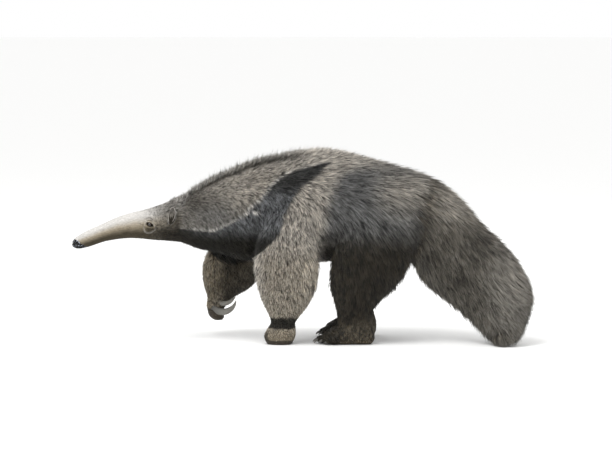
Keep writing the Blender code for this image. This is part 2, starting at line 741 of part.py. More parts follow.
def clear_of(piece, neighbour, work):
    """Cuts the piece back to one gap off its neighbour, so that they meet face to face."""
    grown = copy_of(neighbour, piece.name + "_clearance", work)
    swell = grown.modifiers.new("swell", "DISPLACE")
    swell.strength = GAP
    swell.mid_level = 0.0
    applied(grown)
    combine(piece, [grown], "DIFFERENCE")
    return keep_largest(piece)


def bent_path(points, count):
    """Evenly many points on a smooth curve through a few."""
    rows = smooth_rows(points, 6)
    return [Vector(row_at(rows, k / (count - 1))) for k in range(count)]


def make_claw(name, points, thick, work, around=6, count=6):
    """A horn claw: deep at its root, curved and drawn out to a point."""
    path = bent_path(points, count)
    radii = [thick * (1 - 0.82 * (k / (count - 1)) ** 1.3) for k in range(count)]
    return loft(name, tube_rings(path[:-1], radii[:-1], around, 0.62), work, path[-1])


def make_claws(feet, work):
    """Three claws folded under each forefoot, and a short one on each hind toe."""
    claws = {}
    for foot, table in (("foot_front_left", NEAR_CLAWS), ("foot_front_right", FAR_CLAWS)):
        for i, (thick, points) in enumerate(table, 1):
            name = foot.replace("foot", "claw") + f"_{i}"
            claws[name] = clear_of(make_claw(name, points, thick, work), feet[foot], work)
    for foot, side, shift in (("foot_hind_left", -1, 0.0), ("foot_hind_right", 1, FAR_HIND_SHIFT)):
        for i, (inwards, tip, radius) in enumerate(HIND_TOES, 1):
            y, x = side * (SIDE_OF_LEG - inwards), tip + shift
            points = ((x + 0.010, y, 0.0135), (x, y, 0.0120), (x - 0.007, y, 0.0080), (x - 0.010, y, 0.0035))
            name = foot.replace("foot", "claw") + f"_{i}"
            claw = make_claw(name, points, 0.40 * radius, work, 6, 5)
            claws[name] = clear_of(claw, feet[foot], work)
    return claws


def shifted(rows, column, by):
    """The stations moved along one column."""
    return [row[:column] + (row[column] + by,) + row[column + 1 :] for row in rows]


def make_hind_foot(name, side, shift, work, cutters):
    """A flat hind foot with heel, sole and five toes."""
    rings = []
    for x, top, sole, half in smooth_rows(shifted(HIND_FOOT, 0, shift), 2):
        ring = []
        for k in range(12):
            across, up = rounded(2 * math.pi * k / 12, 2.3)
            middle = (top + sole) / 2
            ring.append(Vector((x, side * SIDE_OF_LEG + half * across, middle + (top - sole) / 2 * up)))
        rings.append(ring)
    foot = loft(name, rings, work)
    shin = smooth_rows(shifted(HIND_LEG[-3:], 1, shift), 2)
    joined = [loft(name + "_shin", [limb_ring(r, 16, side) for r in shin], work)]
    for i, (inwards, tip, radius) in enumerate(HIND_TOES):
        y, tip = side * (SIDE_OF_LEG - inwards), tip + shift
        path = [
            Vector((0.112 + shift, side * SIDE_OF_LEG + (y - side * SIDE_OF_LEG) * 0.9, 0.026)),
            Vector((0.5 * (tip + 0.105 + shift), y, 0.020)),
            Vector((tip + 0.012, y, 0.0135)),
            Vector((tip + 0.003, y, 0.0105)),
        ]
        radii = [radius * 1.15, radius * 1.1, radius * 1.05, radius * 0.62]
        joined.append(loft(f"{name}_toe_{i}", tube_rings(path, radii, 8), work))
    combine(foot, joined, "UNION")
    combine(foot, cutters, "DIFFERENCE")
    return keep_largest(foot)


def part_off(whole, region, grown, name, work):
    """Takes the piece of the whole inside the region, and leaves the whole clear of it."""
    piece = copy_of(whole, name, work)
    combine(piece, [region], "INTERSECT")
    combine(whole, [grown], "DIFFERENCE")
    return keep_largest(piece)


def split_body(whole, work):
    """Parts tail, legs and neck from the torso with cuts one gap wide."""
    nodes = {}
    point, normal = TAIL_CUT
    nodes["tail"] = part_off(
        whole,
        half_space("tail_space", point, normal, work),
        half_space("tail_space_grown", point - normal * GAP, normal, work),
        "tail",
        work,
    )
    for name, side, x_low, x_high, inner, outer in LIMB_SPACES:
        nodes[name] = part_off(
            whole,
            limb_space(name + "_space", side, x_low, x_high, inner, outer, work),
            limb_space(name + "_grown", side, x_low, x_high, inner, outer, work, GAP),
            name,
            work,
        )
    point, normal = NECK_CUT
    nodes["neck"] = part_off(
        whole,
        half_space("neck_space", point, normal, work),
        half_space("neck_space_grown", point - normal * GAP, normal, work),
        "neck",
        work,
    )
    nodes["torso"] = keep_largest(whole)
    whole.name = "torso"
    return nodes


def trim_ends(nodes, work):
    """Cuts the neck clear of the head, and the limbs clear of the feet."""
    point, normal = HEAD_CUT
    cutters = [half_space("before_neck", point - normal * GAP * 0.5, normal, work)]
    combine(nodes["neck"], cutters, "DIFFERENCE")
    down = Vector((0, 0, -1))
    for name, height in (
        ("leg_front_left", NEAR_WRIST_HEIGHT),
        ("leg_front_right", FAR_WRIST_HEIGHT),
        ("leg_hind_left", ANKLE_HEIGHT),
        ("leg_hind_right", ANKLE_HEIGHT),
    ):
        end = half_space(name + "_end", Vector((0, 0, height)), down, work)
        combine(nodes[name], [end], "DIFFERENCE")
        keep_largest(nodes[name])


def make_feet(work):
    """The four feet, with flats on the floor under the three that stand."""
    feet = {}
    up = Vector((0, 0, 1))

    def floor(tag):
        return half_space("floor_" + tag, Vector((0, 0, 0)), -up, work)

    def above(tag, height):
        return half_space("above_" + tag, Vector((0, 0, height - GAP)), up, work)

    fist = loft("foot_front_left", [limb_ring(r, 16, -1) for r in smooth_rows(NEAR_FIST, 2)], work)
    combine(fist, [floor("near"), above("near", NEAR_WRIST_HEIGHT)], "DIFFERENCE")
    feet["foot_front_left"] = fist
    fist = loft("foot_front_right", [limb_ring(r, 16, 1) for r in smooth_rows(FAR_FIST, 2)], work)
    combine(fist, [above("far", FAR_WRIST_HEIGHT)], "DIFFERENCE")
    feet["foot_front_right"] = fist
    for name, side, shift in (("foot_hind_left", -1, 0.0), ("foot_hind_right", 1, FAR_HIND_SHIFT)):
        cutters = [floor(name), above(name, ANKLE_HEIGHT)]
        feet[name] = make_hind_foot(name, side, shift, work, cutters)
    return feet


def finish_node(obj, name, look, home):
    """Names the node, gives it its material and shades it smooth."""
    obj.name = name
    obj.data.name = name
    obj.data.transform(Matrix.Translation(-MIDDLE))
    for collection in list(obj.users_collection):
        collection.objects.unlink(obj)
    home.objects.link(obj)
    obj.data.materials.clear()
    obj.data.materials.append(look)
    obj.data.shade_smooth()
    obj.data.set_sharp_from_angle(angle=math.radians(50))


def main():
    clear_scene()
    home = new_collection("giant_anteater")
    work = new_collection("work")
    looks = {name: material(name) for name in COLOURS}
    random.seed(LOCK_SEED)

    whole = make_hide(work)
    skin = BVHTree.FromPolygons(
        [v.co.copy() for v in whole.data.vertices], [tuple(p.vertices) for p in whole.data.polygons]
    )
    rows = smooth_rows(TAIL_STATIONS, 2)
    coat = [make_tail_core(rows, work)] + tail_locks(rows, work) + crest_locks(skin, work)
    for side in (-1, 1):
        arm, arm_fringe = (NEAR_ARM, NEAR_ARM_FRINGE) if side < 0 else (FAR_ARM, FAR_ARM_FRINGE)
        leg = HIND_LEG if side < 0 else shifted(HIND_LEG, 1, FAR_HIND_SHIFT)
        coat += belly_locks(skin, side, work)
        coat += limb_locks(skin, side, arm, arm_fringe, 1, 6, work)
        coat += limb_locks(skin, side, leg, LEG_BACK_FRINGE, 1, 7, work)
        coat += limb_locks(skin, side, leg, LEG_FRONT_FRINGE, -1, 3, work)
    print(len(coat), "locks")
    combine(whole, coat, "UNION")
    floor = half_space("floor", Vector((0, 0, 0)), Vector((0, 0, -1)), work)
    combine(whole, [floor], "DIFFERENCE")
    nodes = split_body(whole, work)
    trim_ends(nodes, work)
    nodes.update(make_feet(work))
    nodes.update(make_claws(nodes, work))
    nodes["head"] = make_head(work)
    for name, side in (("left", -1), ("right", 1)):
        nodes["eye_" + name] = make_eye("eye_" + name, side, work)
        nodes["ear_" + name] = make_ear("ear_" + name, side, nodes["head"], work)

    coats = {
        "tail": "grizzled_coat",
        "neck": "grizzled_coat",
        "torso": "grizzled_coat",
        "leg_hind_left": "black_coat",
        "leg_hind_right": "black_coat",
        "leg_front_left": "pale_coat",
        "leg_front_right": "pale_coat",
        "foot_front_left": "pale_coat",
        "foot_front_right": "pale_coat",
        "foot_hind_left": "sole_skin",
        "foot_hind_right": "sole_skin",
        "head": "snout_skin",
        "ear_left": "snout_skin",
        "ear_right": "snout_skin",
        "eye_left": "eye_wet",
        "eye_right": "eye_wet",
    }
    for name, obj in nodes.items():
        finish_node(obj, name, looks[coats.get(name, "claw_horn")], home)
    for obj in list(work.objects):
        bpy.data.objects.remove(obj, do_unlink=True)
    for name, obj in nodes.items():
        print(name, sum(len(face.vertices) - 2 for face in obj.data.polygons))


main()
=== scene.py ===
# %% [markdown]
# # A life-size giant anteater
#
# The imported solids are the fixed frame. This script dresses them: one skin goes under the coat, and
# many thousand tufts of hair lie over it. The animal is modelled about the upright plane through its
# spine and moved into the frame as each mesh is made. It walks towards -X, its left side towards -Y.

import json
import math
from types import SimpleNamespace

import bmesh
import bpy
import numpy as np
from mathutils import Matrix, Vector
from mathutils.bvhtree import BVHTree
from mathutils.kdtree import KDTree

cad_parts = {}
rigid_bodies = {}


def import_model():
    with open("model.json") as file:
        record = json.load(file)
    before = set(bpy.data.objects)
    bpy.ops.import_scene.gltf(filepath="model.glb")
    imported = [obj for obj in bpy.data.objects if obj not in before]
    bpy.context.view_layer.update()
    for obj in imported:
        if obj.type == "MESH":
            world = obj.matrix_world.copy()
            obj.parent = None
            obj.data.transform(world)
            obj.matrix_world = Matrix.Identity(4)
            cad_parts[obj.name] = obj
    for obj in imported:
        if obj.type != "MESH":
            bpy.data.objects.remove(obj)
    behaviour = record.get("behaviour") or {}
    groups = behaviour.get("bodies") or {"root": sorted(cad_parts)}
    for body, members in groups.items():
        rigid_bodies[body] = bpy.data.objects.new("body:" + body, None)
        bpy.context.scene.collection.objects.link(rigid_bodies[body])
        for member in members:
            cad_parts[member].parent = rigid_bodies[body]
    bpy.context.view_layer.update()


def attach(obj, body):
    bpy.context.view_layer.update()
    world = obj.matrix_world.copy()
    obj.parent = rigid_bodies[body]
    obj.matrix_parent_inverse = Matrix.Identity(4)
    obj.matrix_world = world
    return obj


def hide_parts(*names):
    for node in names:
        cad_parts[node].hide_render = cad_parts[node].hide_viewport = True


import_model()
# From the plane through the animal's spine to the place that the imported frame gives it.
INTO_FRAME = Vector((-0.0046, 0.0080, 0.0))

# %% [markdown]
# ## Camera
#
# The picture is taken from the animal's left with a long lens, a little above its back, so the far
# legs show beside the near ones with hardly any perspective. Eight metres away, a 157 mm lens on a
# 36 mm sensor takes in 1.84 m, which is the width of the picture at this scale.

# %% Camera
AIM = Vector((0.0134, 0.0080, 0.3307))
CAMERA_DISTANCE = 8.0
CAMERA_RISE = math.radians(5.0)
LENS = 156.9
SENSOR_WIDTH = 36.0
FAR_CLIP = 200.0

camera = bpy.data.objects.new("camera", bpy.data.cameras.new("camera"))
bpy.context.scene.collection.objects.link(camera)
camera.location = AIM + CAMERA_DISTANCE * Vector((0, -math.cos(CAMERA_RISE), math.sin(CAMERA_RISE)))
camera.rotation_euler = (AIM - camera.location).to_track_quat("-Z", "Y").to_euler()
camera.data.sensor_width = SENSOR_WIDTH
camera.data.lens = LENS
camera.data.clip_end = FAR_CLIP
bpy.context.scene.camera = camera
print("camera:", LENS, "mm lens takes in", round(SENSOR_WIDTH / LENS * CAMERA_DISTANCE, 2), "m")

# %% [markdown]
# ## Colour and nodes
#
# Colours are given as sRGB hex, while the shaders work in linear light, so one function turns
# one into the other. One more adds a node with its settings and its links, so that each material below
# reads as a short list of steps.


# %% Colour and node helpers
def linear(hex_colour):
    """An sRGB hex colour as linear RGBA."""
    shares = [int(hex_colour[i : i + 2], 16) / 255 for i in (0, 2, 4)]
    return [s / 12.92 if s <= 0.04045 else ((s + 0.055) / 1.055) ** 2.4 for s in shares] + [1.0]


def add_node(tree, kind, settings=None, links=None):
    """Adds a node, sets its properties or sockets, and links its inputs to other nodes' outputs."""
    node = tree.nodes.new("ShaderNode" + kind)
    for name, value in (settings or {}).items():
        if isinstance(name, int) or name in node.inputs:
            node.inputs[name].default_value = value
        else:
            setattr(node, name, value)
    for name, source in (links or {}).items():
        tree.links.new(source, node.inputs[name])
    return node


def set_stops(node, stops):
    """Gives a colour ramp these stops, each a place from 0 to 1 and a hex colour."""
    elements = node.color_ramp.elements
    for element, (place, hex_colour) in zip(elements, stops[:2]):
        element.position = place
        element.color = linear(hex_colour)
    for place, hex_colour in stops[2:]:
        elements.new(place).color = linear(hex_colour)


def new_material(name, roughness, sockets=None):
    """A Principled material with its constant values on the shader's own sockets."""
    made = bpy.data.materials.new(name)
    made.use_nodes = True
    shader = made.node_tree.nodes["Principled BSDF"]
    shader.inputs["Roughness"].default_value = roughness
    for socket, value in (sockets or {}).items():
        shader.inputs[socket].default_value = value
    return made, made.node_tree, shader


# %% [markdown]
# ## Floor and light
#
# A museum model is photographed on a plain pale floor, painted matt so that it mirrors nothing.
# Daylight in the picture falls softly from above and a little from the front, so one big lamp hangs
# over the back, a weaker one stands beside the camera, a third lights the far side, and the pale
# surroundings fill the shadows.

# %% Floor and lights
FLOOR_RADIUS = 60.0
FLOOR_SIDES = 96
# Lamps: name, place, side in metres, power in watts.
LAMPS = (
    ("lamp_above", (-0.8, -1.2, 3.6), 2.0, 80),
    ("lamp_front", (-3.2, -4.2, 2.2), 2.4, 30),
    ("lamp_behind", (2.2, 3.6, 2.6), 2.4, 25),
)

floor_mesh = bmesh.new()
bmesh.ops.create_circle(floor_mesh, cap_ends=True, segments=FLOOR_SIDES, radius=FLOOR_RADIUS)
floor = bpy.data.objects.new("studio_floor", bpy.data.meshes.new("studio_floor"))
floor_mesh.to_mesh(floor.data)
floor_mesh.free()
bpy.context.scene.collection.objects.link(floor)

painted_floor = new_material("matt_painted_floor", 0.9, {"Base Color": linear("fbfbfa")})[0]
floor.data.materials.append(painted_floor)

world = bpy.data.worlds.new("studio_room")
world.use_nodes = True
background = world.node_tree.nodes["Background"]
background.inputs["Color"].default_value = linear("ffffff")
background.inputs["Strength"].default_value = 1.0
bpy.context.scene.world = world
bpy.context.scene.view_settings.view_transform = "Standard"

for name, place, size, power in LAMPS:
    light = bpy.data.lights.new(name, "AREA")
    light.size = size
    light.energy = power
    lamp = bpy.data.objects.new(name, light)
    lamp.location = place
    lamp.rotation_euler = (AIM - Vector(place)).to_track_quat("-Z", "Y").to_euler()
    bpy.context.scene.collection.objects.link(lamp)
print("lamps:", len(LAMPS), "over a floor of", FLOOR_RADIUS, "m radius")

# %% [markdown]
# ## The animal's forms as tables
#
# A zoologist measures an animal at stations along its bones. The tables give the outside of the coat
# at each station, in metres, as the solids have it. A smooth curve through the stations keeps the
# flowing outline without long lists of points, and the skin is found by going in from there.

# %% Tables of stations
# Trunk: x, top, underside, half width, share of the height at which it is widest.
HEAD_STATIONS = (
    (-0.6835, 0.2935, 0.2835, 0.0060, 0.50),
    (-0.6815, 0.2990, 0.2795, 0.0105, 0.50),
    (-0.6740, 0.3075, 0.2755, 0.0145, 0.50),
    (-0.6610, 0.3175, 0.2735, 0.0178, 0.50),
    (-0.6360, 0.3310, 0.2785, 0.0205, 0.49),
    (-0.6120, 0.3415, 0.2865, 0.0225, 0.48),
    (-0.5880, 0.3522, 0.2945, 0.0247, 0.48),
    (-0.5640, 0.3635, 0.2995, 0.0270, 0.47),
    (-0.5400, 0.3730, 0.3030, 0.0295, 0.47),
    (-0.5160, 0.3805, 0.3050, 0.0322, 0.46),
    (-0.4920, 0.3867, 0.3050, 0.0352, 0.46),
    (-0.4680, 0.3920, 0.3035, 0.0385, 0.46),
    (-0.4440, 0.3990, 0.3012, 0.0425, 0.46),
    (-0.4200, 0.4065, 0.2997, 0.0462, 0.46),
    (-0.3930, 0.4170, 0.2985, 0.0500, 0.46),
    (-0.3480, 0.4400, 0.2900, 0.0570, 0.46),
)
BODY_STATIONS = (
    (-0.4440, 0.3990, 0.3012, 0.0425, 0.46),
    (-0.3930, 0.4170, 0.2985, 0.0500, 0.46),
    (-0.3480, 0.4400, 0.2900, 0.0570, 0.46),
    (-0.3000, 0.4690, 0.2725, 0.0680, 0.46),
    (-0.2250, 0.5040, 0.2610, 0.0880, 0.45),
    (-0.1500, 0.5360, 0.2450, 0.1080, 0.45),
    (-0.0750, 0.5560, 0.2340, 0.1240, 0.45),
    (0.0000, 0.5700, 0.2330, 0.1380, 0.45),
    (0.0750, 0.5770, 0.2420, 0.1480, 0.45),
    (0.1500, 0.5650, 0.2500, 0.1520, 0.45),
    (0.2250, 0.5460, 0.2550, 0.1490, 0.45),
    (0.3000, 0.5240, 0.2620, 0.1360, 0.46),
    (0.3600, 0.5070, 0.2900, 0.1130, 0.48),
    (0.4100, 0.4810, 0.3300, 0.0820, 0.50),
    (0.4440, 0.4500, 0.3650, 0.0420, 0.50),
)
# Limbs from top to bottom: height, x, half length, sideways place, half width.
NEAR_ARM = (
    (0.5060, 0.0540, 0.0400, 0.072, 0.034),
    (0.4310, 0.0150, 0.0700, 0.086, 0.050),
    (0.3550, -0.0240, 0.0860, 0.097, 0.059),
    (0.2800, -0.0400, 0.0920, 0.104, 0.061),
    (0.2200, -0.0420, 0.0930, 0.107, 0.059),
    (0.1600, -0.0400, 0.0850, 0.107, 0.053),
    (0.1145, -0.0420, 0.0670, 0.106, 0.045),
    (0.0840, -0.0460, 0.0500, 0.105, 0.038),
    (0.0630, -0.0500, 0.0410, 0.104, 0.034),
    (0.0500, -0.0525, 0.0400, 0.104, 0.034),
)
FAR_ARM = (
    (0.4900, 0.0200, 0.0400, 0.072, 0.034),
    (0.4115, -0.0150, 0.0750, 0.086, 0.050),
    (0.3450, -0.0750, 0.0960, 0.096, 0.058),
    (0.2910, -0.1400, 0.1080, 0.103, 0.060),
    (0.2460, -0.1870, 0.1000, 0.106, 0.059),
    (0.2066, -0.2070, 0.0930, 0.107, 0.057),
    (0.1765, -0.2130, 0.0870, 0.107, 0.053),
    (0.1524, -0.2210, 0.0760, 0.106, 0.048),
    (0.1370, -0.2300, 0.0620, 0.105, 0.043),
    (0.1220, -0.2410, 0.0470, 0.104, 0.038),
    (0.1070, -0.2475, 0.0380, 0.103, 0.035),
    (0.0950, -0.2520, 0.0330, 0.102, 0.034),
)
HIND_LEG = (
    (0.4610, 0.2850, 0.0850, 0.066, 0.055),
    (0.4006, 0.2600, 0.1150, 0.078, 0.068),
    (0.3400, 0.2330, 0.1230, 0.087, 0.074),
    (0.2800, 0.2140, 0.1170, 0.094, 0.072),
    (0.2330, 0.2060, 0.1120, 0.098, 0.066),
    (0.1860, 0.1900, 0.1000, 0.101, 0.058),
    (0.1550, 0.1770, 0.0870, 0.103, 0.052),
    (0.1230, 0.1650, 0.0650, 0.104, 0.046),
    (0.0980, 0.1610, 0.0565, 0.105, 0.041),
    (0.0730, 0.1620, 0.0570, 0.105, 0.039),
    (0.0550, 0.1620, 0.0600, 0.105, 0.039),
)
NEAR_FIST = (
    (0.0660, -0.0495, 0.0420, 0.104, 0.0345),
    (0.0550, -0.0520, 0.0405, 0.104, 0.0340),
    (0.0450, -0.0550, 0.0430, 0.104, 0.0360),
    (0.0270, -0.0595, 0.0480, 0.103, 0.0390),
    (0.0100, -0.0610, 0.0440, 0.102, 0.0370),
    (-0.0020, -0.0610, 0.0360, 0.102, 0.0310),
)
FAR_FIST = (
    (0.1140, -0.2455, 0.0400, 0.1035, 0.0360),
    (0.1030, -0.2510, 0.0350, 0.103, 0.0350),
    (0.0900, -0.2560, 0.0300, 0.103, 0.0350),
    (0.0780, -0.2570, 0.0270, 0.103, 0.0355),
    (0.0660, -0.2560, 0.0255, 0.103, 0.0350),
    (0.0560, -0.2520, 0.0230, 0.103, 0.0320),
    (0.0480, -0.2490, 0.0150, 0.103, 0.0220),
)
# Hind foot from heel to toes: x, top, sole, half width.
HIND_FOOT = (
    (0.2200, 0.0420, 0.0120, 0.0140),
    (0.2110, 0.0700, -0.0010, 0.0290),
    (0.1880, 0.0820, -0.0020, 0.0350),
    (0.1550, 0.0800, -0.0020, 0.0380),
    (0.1250, 0.0640, -0.0020, 0.0410),
    (0.1000, 0.0500, -0.0015, 0.0430),
    (0.0800, 0.0400, 0.0010, 0.0400),
    (0.0700, 0.0300, 0.0080, 0.0300),
)
# Hind toes, inner to outer: sideways offset inwards, tip x, radius.
HIND_TOES = (
    (0.030, 0.0560, 0.0090),
    (0.014, 0.0480, 0.0100),
    (-0.002, 0.0520, 0.0100),
    (-0.017, 0.0640, 0.0095),
    (-0.030, 0.0820, 0.0085),
)
# Brush of the tail, section by section: back edge x, z, under edge x, z, half width.
TAIL_STATIONS = (
    (0.3300, 0.5140, 0.3080, 0.2550, 0.1220),
    (0.3780, 0.5080, 0.3350, 0.2330, 0.1180),
    (0.4480, 0.4680, 0.3480, 0.1860, 0.1060),
    (0.5020, 0.4190, 0.3830, 0.1420, 0.0930),
    (0.5440, 0.3630, 0.4250, 0.1150, 0.0840),
    (0.5960, 0.3190, 0.4610, 0.0930, 0.0800),
    (0.6420, 0.2680, 0.4920, 0.0690, 0.0770),
    (0.6760, 0.2080, 0.5200, 0.0440, 0.0710),
    (0.6900, 0.1480, 0.5460, 0.0270, 0.0620),
    (0.6720, 0.0950, 0.5610, 0.0110, 0.0500),
    (0.6440, 0.0430, 0.5760, 0.0010, 0.0340),
    (0.6050, 0.0060, 0.5930, 0.0020, 0.0060),
)
# How far the tail's tip swings towards the camera, how much further back the far hind leg stands,
# and how far the limbs' middles lie from the spine.
TAIL_SWING = -0.17
FAR_HIND_SHIFT = 0.010
SIDE_OF_LEG = 0.104


def smooth_rows(rows, steps):
    """Rows read off a Catmull-Rom curve through the stations, with this many to each span."""
    rows = np.array(rows, float)
    padded = np.vstack([2 * rows[0] - rows[1], rows, 2 * rows[-1] - rows[-2]])
    found = []
    for i in range(len(rows) - 1):
        a, b, c, d = padded[i : i + 4]
        for t in np.arange(steps) / steps:
            cubic = 2 * b + (c - a) * t
            cubic += (2 * a - 5 * b + 4 * c - d) * t**2 + (3 * b - a - 3 * c + d) * t**3
            found.append(0.5 * cubic)
    found.append(rows[-1])
    return np.array(found)


def shifted(rows, column, by):
    """The stations moved along one column."""
    return [row[:column] + (row[column] + by,) + row[column + 1 :] for row in rows]


def rows_at(rows, places):
    """Rows at fractional places along smoothed rows, each place running from 0 to 1."""
    at = np.clip(places, 0.0, 1.0) * (len(rows) - 1)
    low = np.minimum(at.astype(int), len(rows) - 2)
    share = (at - low)[..., None]
    return rows[low] * (1 - share) + rows[low + 1] * share


print("stations:", len(HEAD_STATIONS) + len(BODY_STATIONS), "trunk,", len(TAIL_STATIONS), "tail")

# %% [markdown]
# ## Skin: closed forms under the coat
#
# Under the coat the real animal is one hide. Each trunk section or limb section is an egg or an oval,
# so a superellipse a little squarer than a circle is drawn at each station, as deep under the coat's
# outside as the hair is thick there. The forms are fused, and a voxel remesh with some smoothing
# melts the shoulders and hips into the trunk, as skin and muscle do.

# %% Lofts
# How deep the skin lies under the outside of the coat. On the trunk it is read off by x.
HEAD_COAT = 0.0012
FOOT_COAT = 0.0020
SOLE_COAT = 0.0010
ARM_COAT = 0.0075
LEG_COAT = 0.0090
SHIN_COAT = 0.0095
CREST_COAT = 0.0060
TRUNK_COAT = (
    (-0.444, 0.0100),
    (-0.393, 0.0075),
    (-0.340, 0.0060),
    (-0.200, 0.0075),
    (0.000, 0.0100),
    (0.444, 0.0110),
)
# How square the sections are, 2 being a plain ellipse.
TRUNK_POWER = 2.15
LIMB_POWER = 2.2
FOOT_POWER = 2.3
# The size of the faces after remeshing, in metres.
SKIN_VOXEL = 0.0045
FOOT_VOXEL = 0.0023

forms = bpy.data.collections.new("forms")
bpy.context.scene.collection.children.link(forms)


def turns(count):
    """This many angles, evenly round a section."""
    return np.arange(count) * 2 * math.pi / count


def superellipse(angles, power):
    """Cosine and sine on a superellipse, power 2 being a plain ellipse."""
    c, s = np.cos(angles), np.sin(angles)
    return np.sign(c) * np.abs(c) ** (2 / power), np.sign(s) * np.abs(s) ** (2 / power)


def trunk_rings(rows, angles, depths, crest_coat=0.0):
    """Upright egg sections of the trunk, each this far inside the coat, and deeper along the back."""
    across, up = superellipse(angles, TRUNK_POWER)
    rings = []
    for (x, top, under, half, share), depth in zip(rows, depths):
        waist = under + share * (top - under)
        rise = np.where(up > 0, top - waist - depth - crest_coat, waist - under - depth)
        rings.append(np.stack([np.full_like(up, x), (half - depth) * across, waist + rise * up], 1))
    return np.array(rings)


def limb_rings(rows, angles, side, depths):
    """Level oval sections of a limb, side being -1 for left or 1 for right."""
    along, across = superellipse(angles, LIMB_POWER)
    rings = []
    for (z, x, half_length, place, half_width), depth in zip(rows, depths):
        xs = x + (half_length - depth) * along
        rings.append(np.stack([xs, side * place + (half_width - depth) * across, np.full_like(xs, z)], 1))
    return np.array(rings)


def tail_points(rows, places, angles, shares):
    """Points in the brush: place along it, angle round it from its under edge, share of its radius."""
    back_x, back_z, under_x, under_z, half = rows_at(rows, places).T
    flat = np.zeros_like(half)
    middle = np.stack([(back_x + under_x) / 2, TAIL_SWING * places**1.5, (back_z + under_z) / 2], 1)
    down = np.stack([(under_x - back_x) / 2, flat, (under_z - back_z) / 2], 1)
    sideways = np.stack([flat, half, flat], 1)
    around = np.cos(angles)[:, None] * down + np.sin(angles)[:, None] * sideways
    return middle + shares[:, None] * around


def tube_rings(path, radii, around, flat=1.0):
    """Rings square to a path. flat is the sideways share of each radius."""
    rings = []
    angles = turns(around)
    for i, (point, radius) in enumerate(zip(path, radii)):
        along = Vector(path[min(i + 1, len(path) - 1)] - path[max(i - 1, 0)]).normalized()
        sideways = along.cross(Vector((0, 0, 1)))
        if sideways.length < 0.05:
            sideways = along.cross(Vector((1, 0, 0)))
        sideways.normalize()
        up = np.array(sideways.cross(along).normalized())
        ring = flat * np.cos(angles)[:, None] * np.array(sideways) + np.sin(angles)[:, None] * up
        rings.append(np.array(point) + radius * ring)
    return np.array(rings)


# %% Closed bodies
def loft(name, rings, tip=None):
    """A closed body through rings of equal count, ending in a cap or in a tip point."""
    count, around = rings.shape[:2]
    points = rings.reshape(-1, 3).tolist()
    faces = []
    for i in range(count - 1):
        for k in range(around):
            j = (k + 1) % around
            faces.append((i * around + k, i * around + j, (i + 1) * around + j, (i + 1) * around + k))
    faces.append(tuple(reversed(range(around))))
    last = (count - 1) * around
    if tip is None:
        faces.append(tuple(range(last, last + around)))
    else:
        points.append(tuple(tip))
        faces += [(last + k, last + (k + 1) % around, len(points) - 1) for k in range(around)]
    mesh = bpy.data.meshes.new(name)
    mesh.from_pydata(points, [], faces)
    return outward(name, mesh)


def outward(name, mesh):
    """An object among the forms that holds the mesh, turned outwards if its faces point in."""
    bm = bmesh.new()
    bm.from_mesh(mesh)
    bmesh.ops.recalc_face_normals(bm, faces=bm.faces)
    if bm.calc_volume(signed=True) < 0:
        bmesh.ops.reverse_faces(bm, faces=bm.faces)
    bm.to_mesh(mesh)
    bm.free()
    made = bpy.data.objects.new(name, mesh)
    forms.objects.link(made)
    return made


def applied(obj):
    """The object with its modifiers made part of its mesh."""
    bpy.context.view_layer.update()
    graph = bpy.context.evaluated_depsgraph_get()
    mesh = bpy.data.meshes.new_from_object(obj.evaluated_get(graph))
    obj.modifiers.clear()
    obj.data = mesh
    return obj


def fused(target, others):
    """The target made one with several closed bodies, which are then removed."""
    group = bpy.data.collections.new("others")
    for other in others:
        forms.objects.unlink(other)
        group.objects.link(other)
    boolean = target.modifiers.new("fuse", "BOOLEAN")
    boolean.operation = "UNION"
    boolean.operand_type = "COLLECTION"
    boolean.collection = group
    boolean.solver = "MANIFOLD"
    applied(target)
    for other in list(group.objects):
        bpy.data.objects.remove(other, do_unlink=True)
    bpy.data.collections.remove(group)
    return target


def melted(obj, voxel, rounds):
    """Remeshes the form into even small faces and smooths it, so that its parts flow together."""
    remesh = obj.modifiers.new("blend", "REMESH")
    remesh.mode = "VOXEL"
    remesh.voxel_size = voxel
    soften = obj.modifiers.new("soften", "SMOOTH")
    soften.factor = 0.5
    soften.iterations = rounds
    applied(obj)


# %% Trunk, limbs and tail core
TAIL_ROWS = smooth_rows(TAIL_STATIONS, 8)
# The tail's core as a share of the brush: at its root, further out, and how far along it reaches.
TAIL_CORE_ROOT = 0.92
TAIL_CORE = 0.80
TAIL_CORE_END = 0.93

trunk_rows = smooth_rows(BODY_STATIONS, 3)
trunk_depths = np.interp(trunk_rows[:, 0], *zip(*TRUNK_COAT))
hide = loft("hide", trunk_rings(trunk_rows, turns(48), trunk_depths, CREST_COAT))

limbs = []
for name, rows, side, coat in (
    ("arm_near", NEAR_ARM, -1, ARM_COAT),
    ("arm_far", FAR_ARM, 1, ARM_COAT),
    ("leg_near", HIND_LEG, -1, LEG_COAT),
    ("leg_far", shifted(HIND_LEG, 1, FAR_HIND_SHIFT), 1, LEG_COAT),
):
    rows = smooth_rows(rows, 3)
    limbs.append(loft(name, limb_rings(rows, turns(36), side, np.full(len(rows), coat))))

core_turns = turns(24)
core_rings = []
for place in np.linspace(0.0, TAIL_CORE_END, 26):
    places = np.full(len(core_turns), place)
    shares = np.full(len(core_turns), max(TAIL_CORE, TAIL_CORE_ROOT - place))
    core_rings.append(tail_points(TAIL_ROWS, places, core_turns, shares))
limbs.append(loft("tail_core", np.array(core_rings)))

fused(hide, limbs)
melted(hide, SKIN_VOXEL, rounds=7)
print("hide:", len(hide.data.polygons), "faces")

# %% [markdown]
# ## Feet
#
# The anteater walks on the outer edge of its forefeet, with the big claws folded under a leathery
# fist, and on the flat soles of its hind feet. Both are nearly bare, so their skin lies just under
# the solids' outside, and a finer remesh keeps the toes apart.

# %% Fists and hind feet
# Share of the fist's height, from the wrist, at which it is bare.
BARE_FROM = 0.35
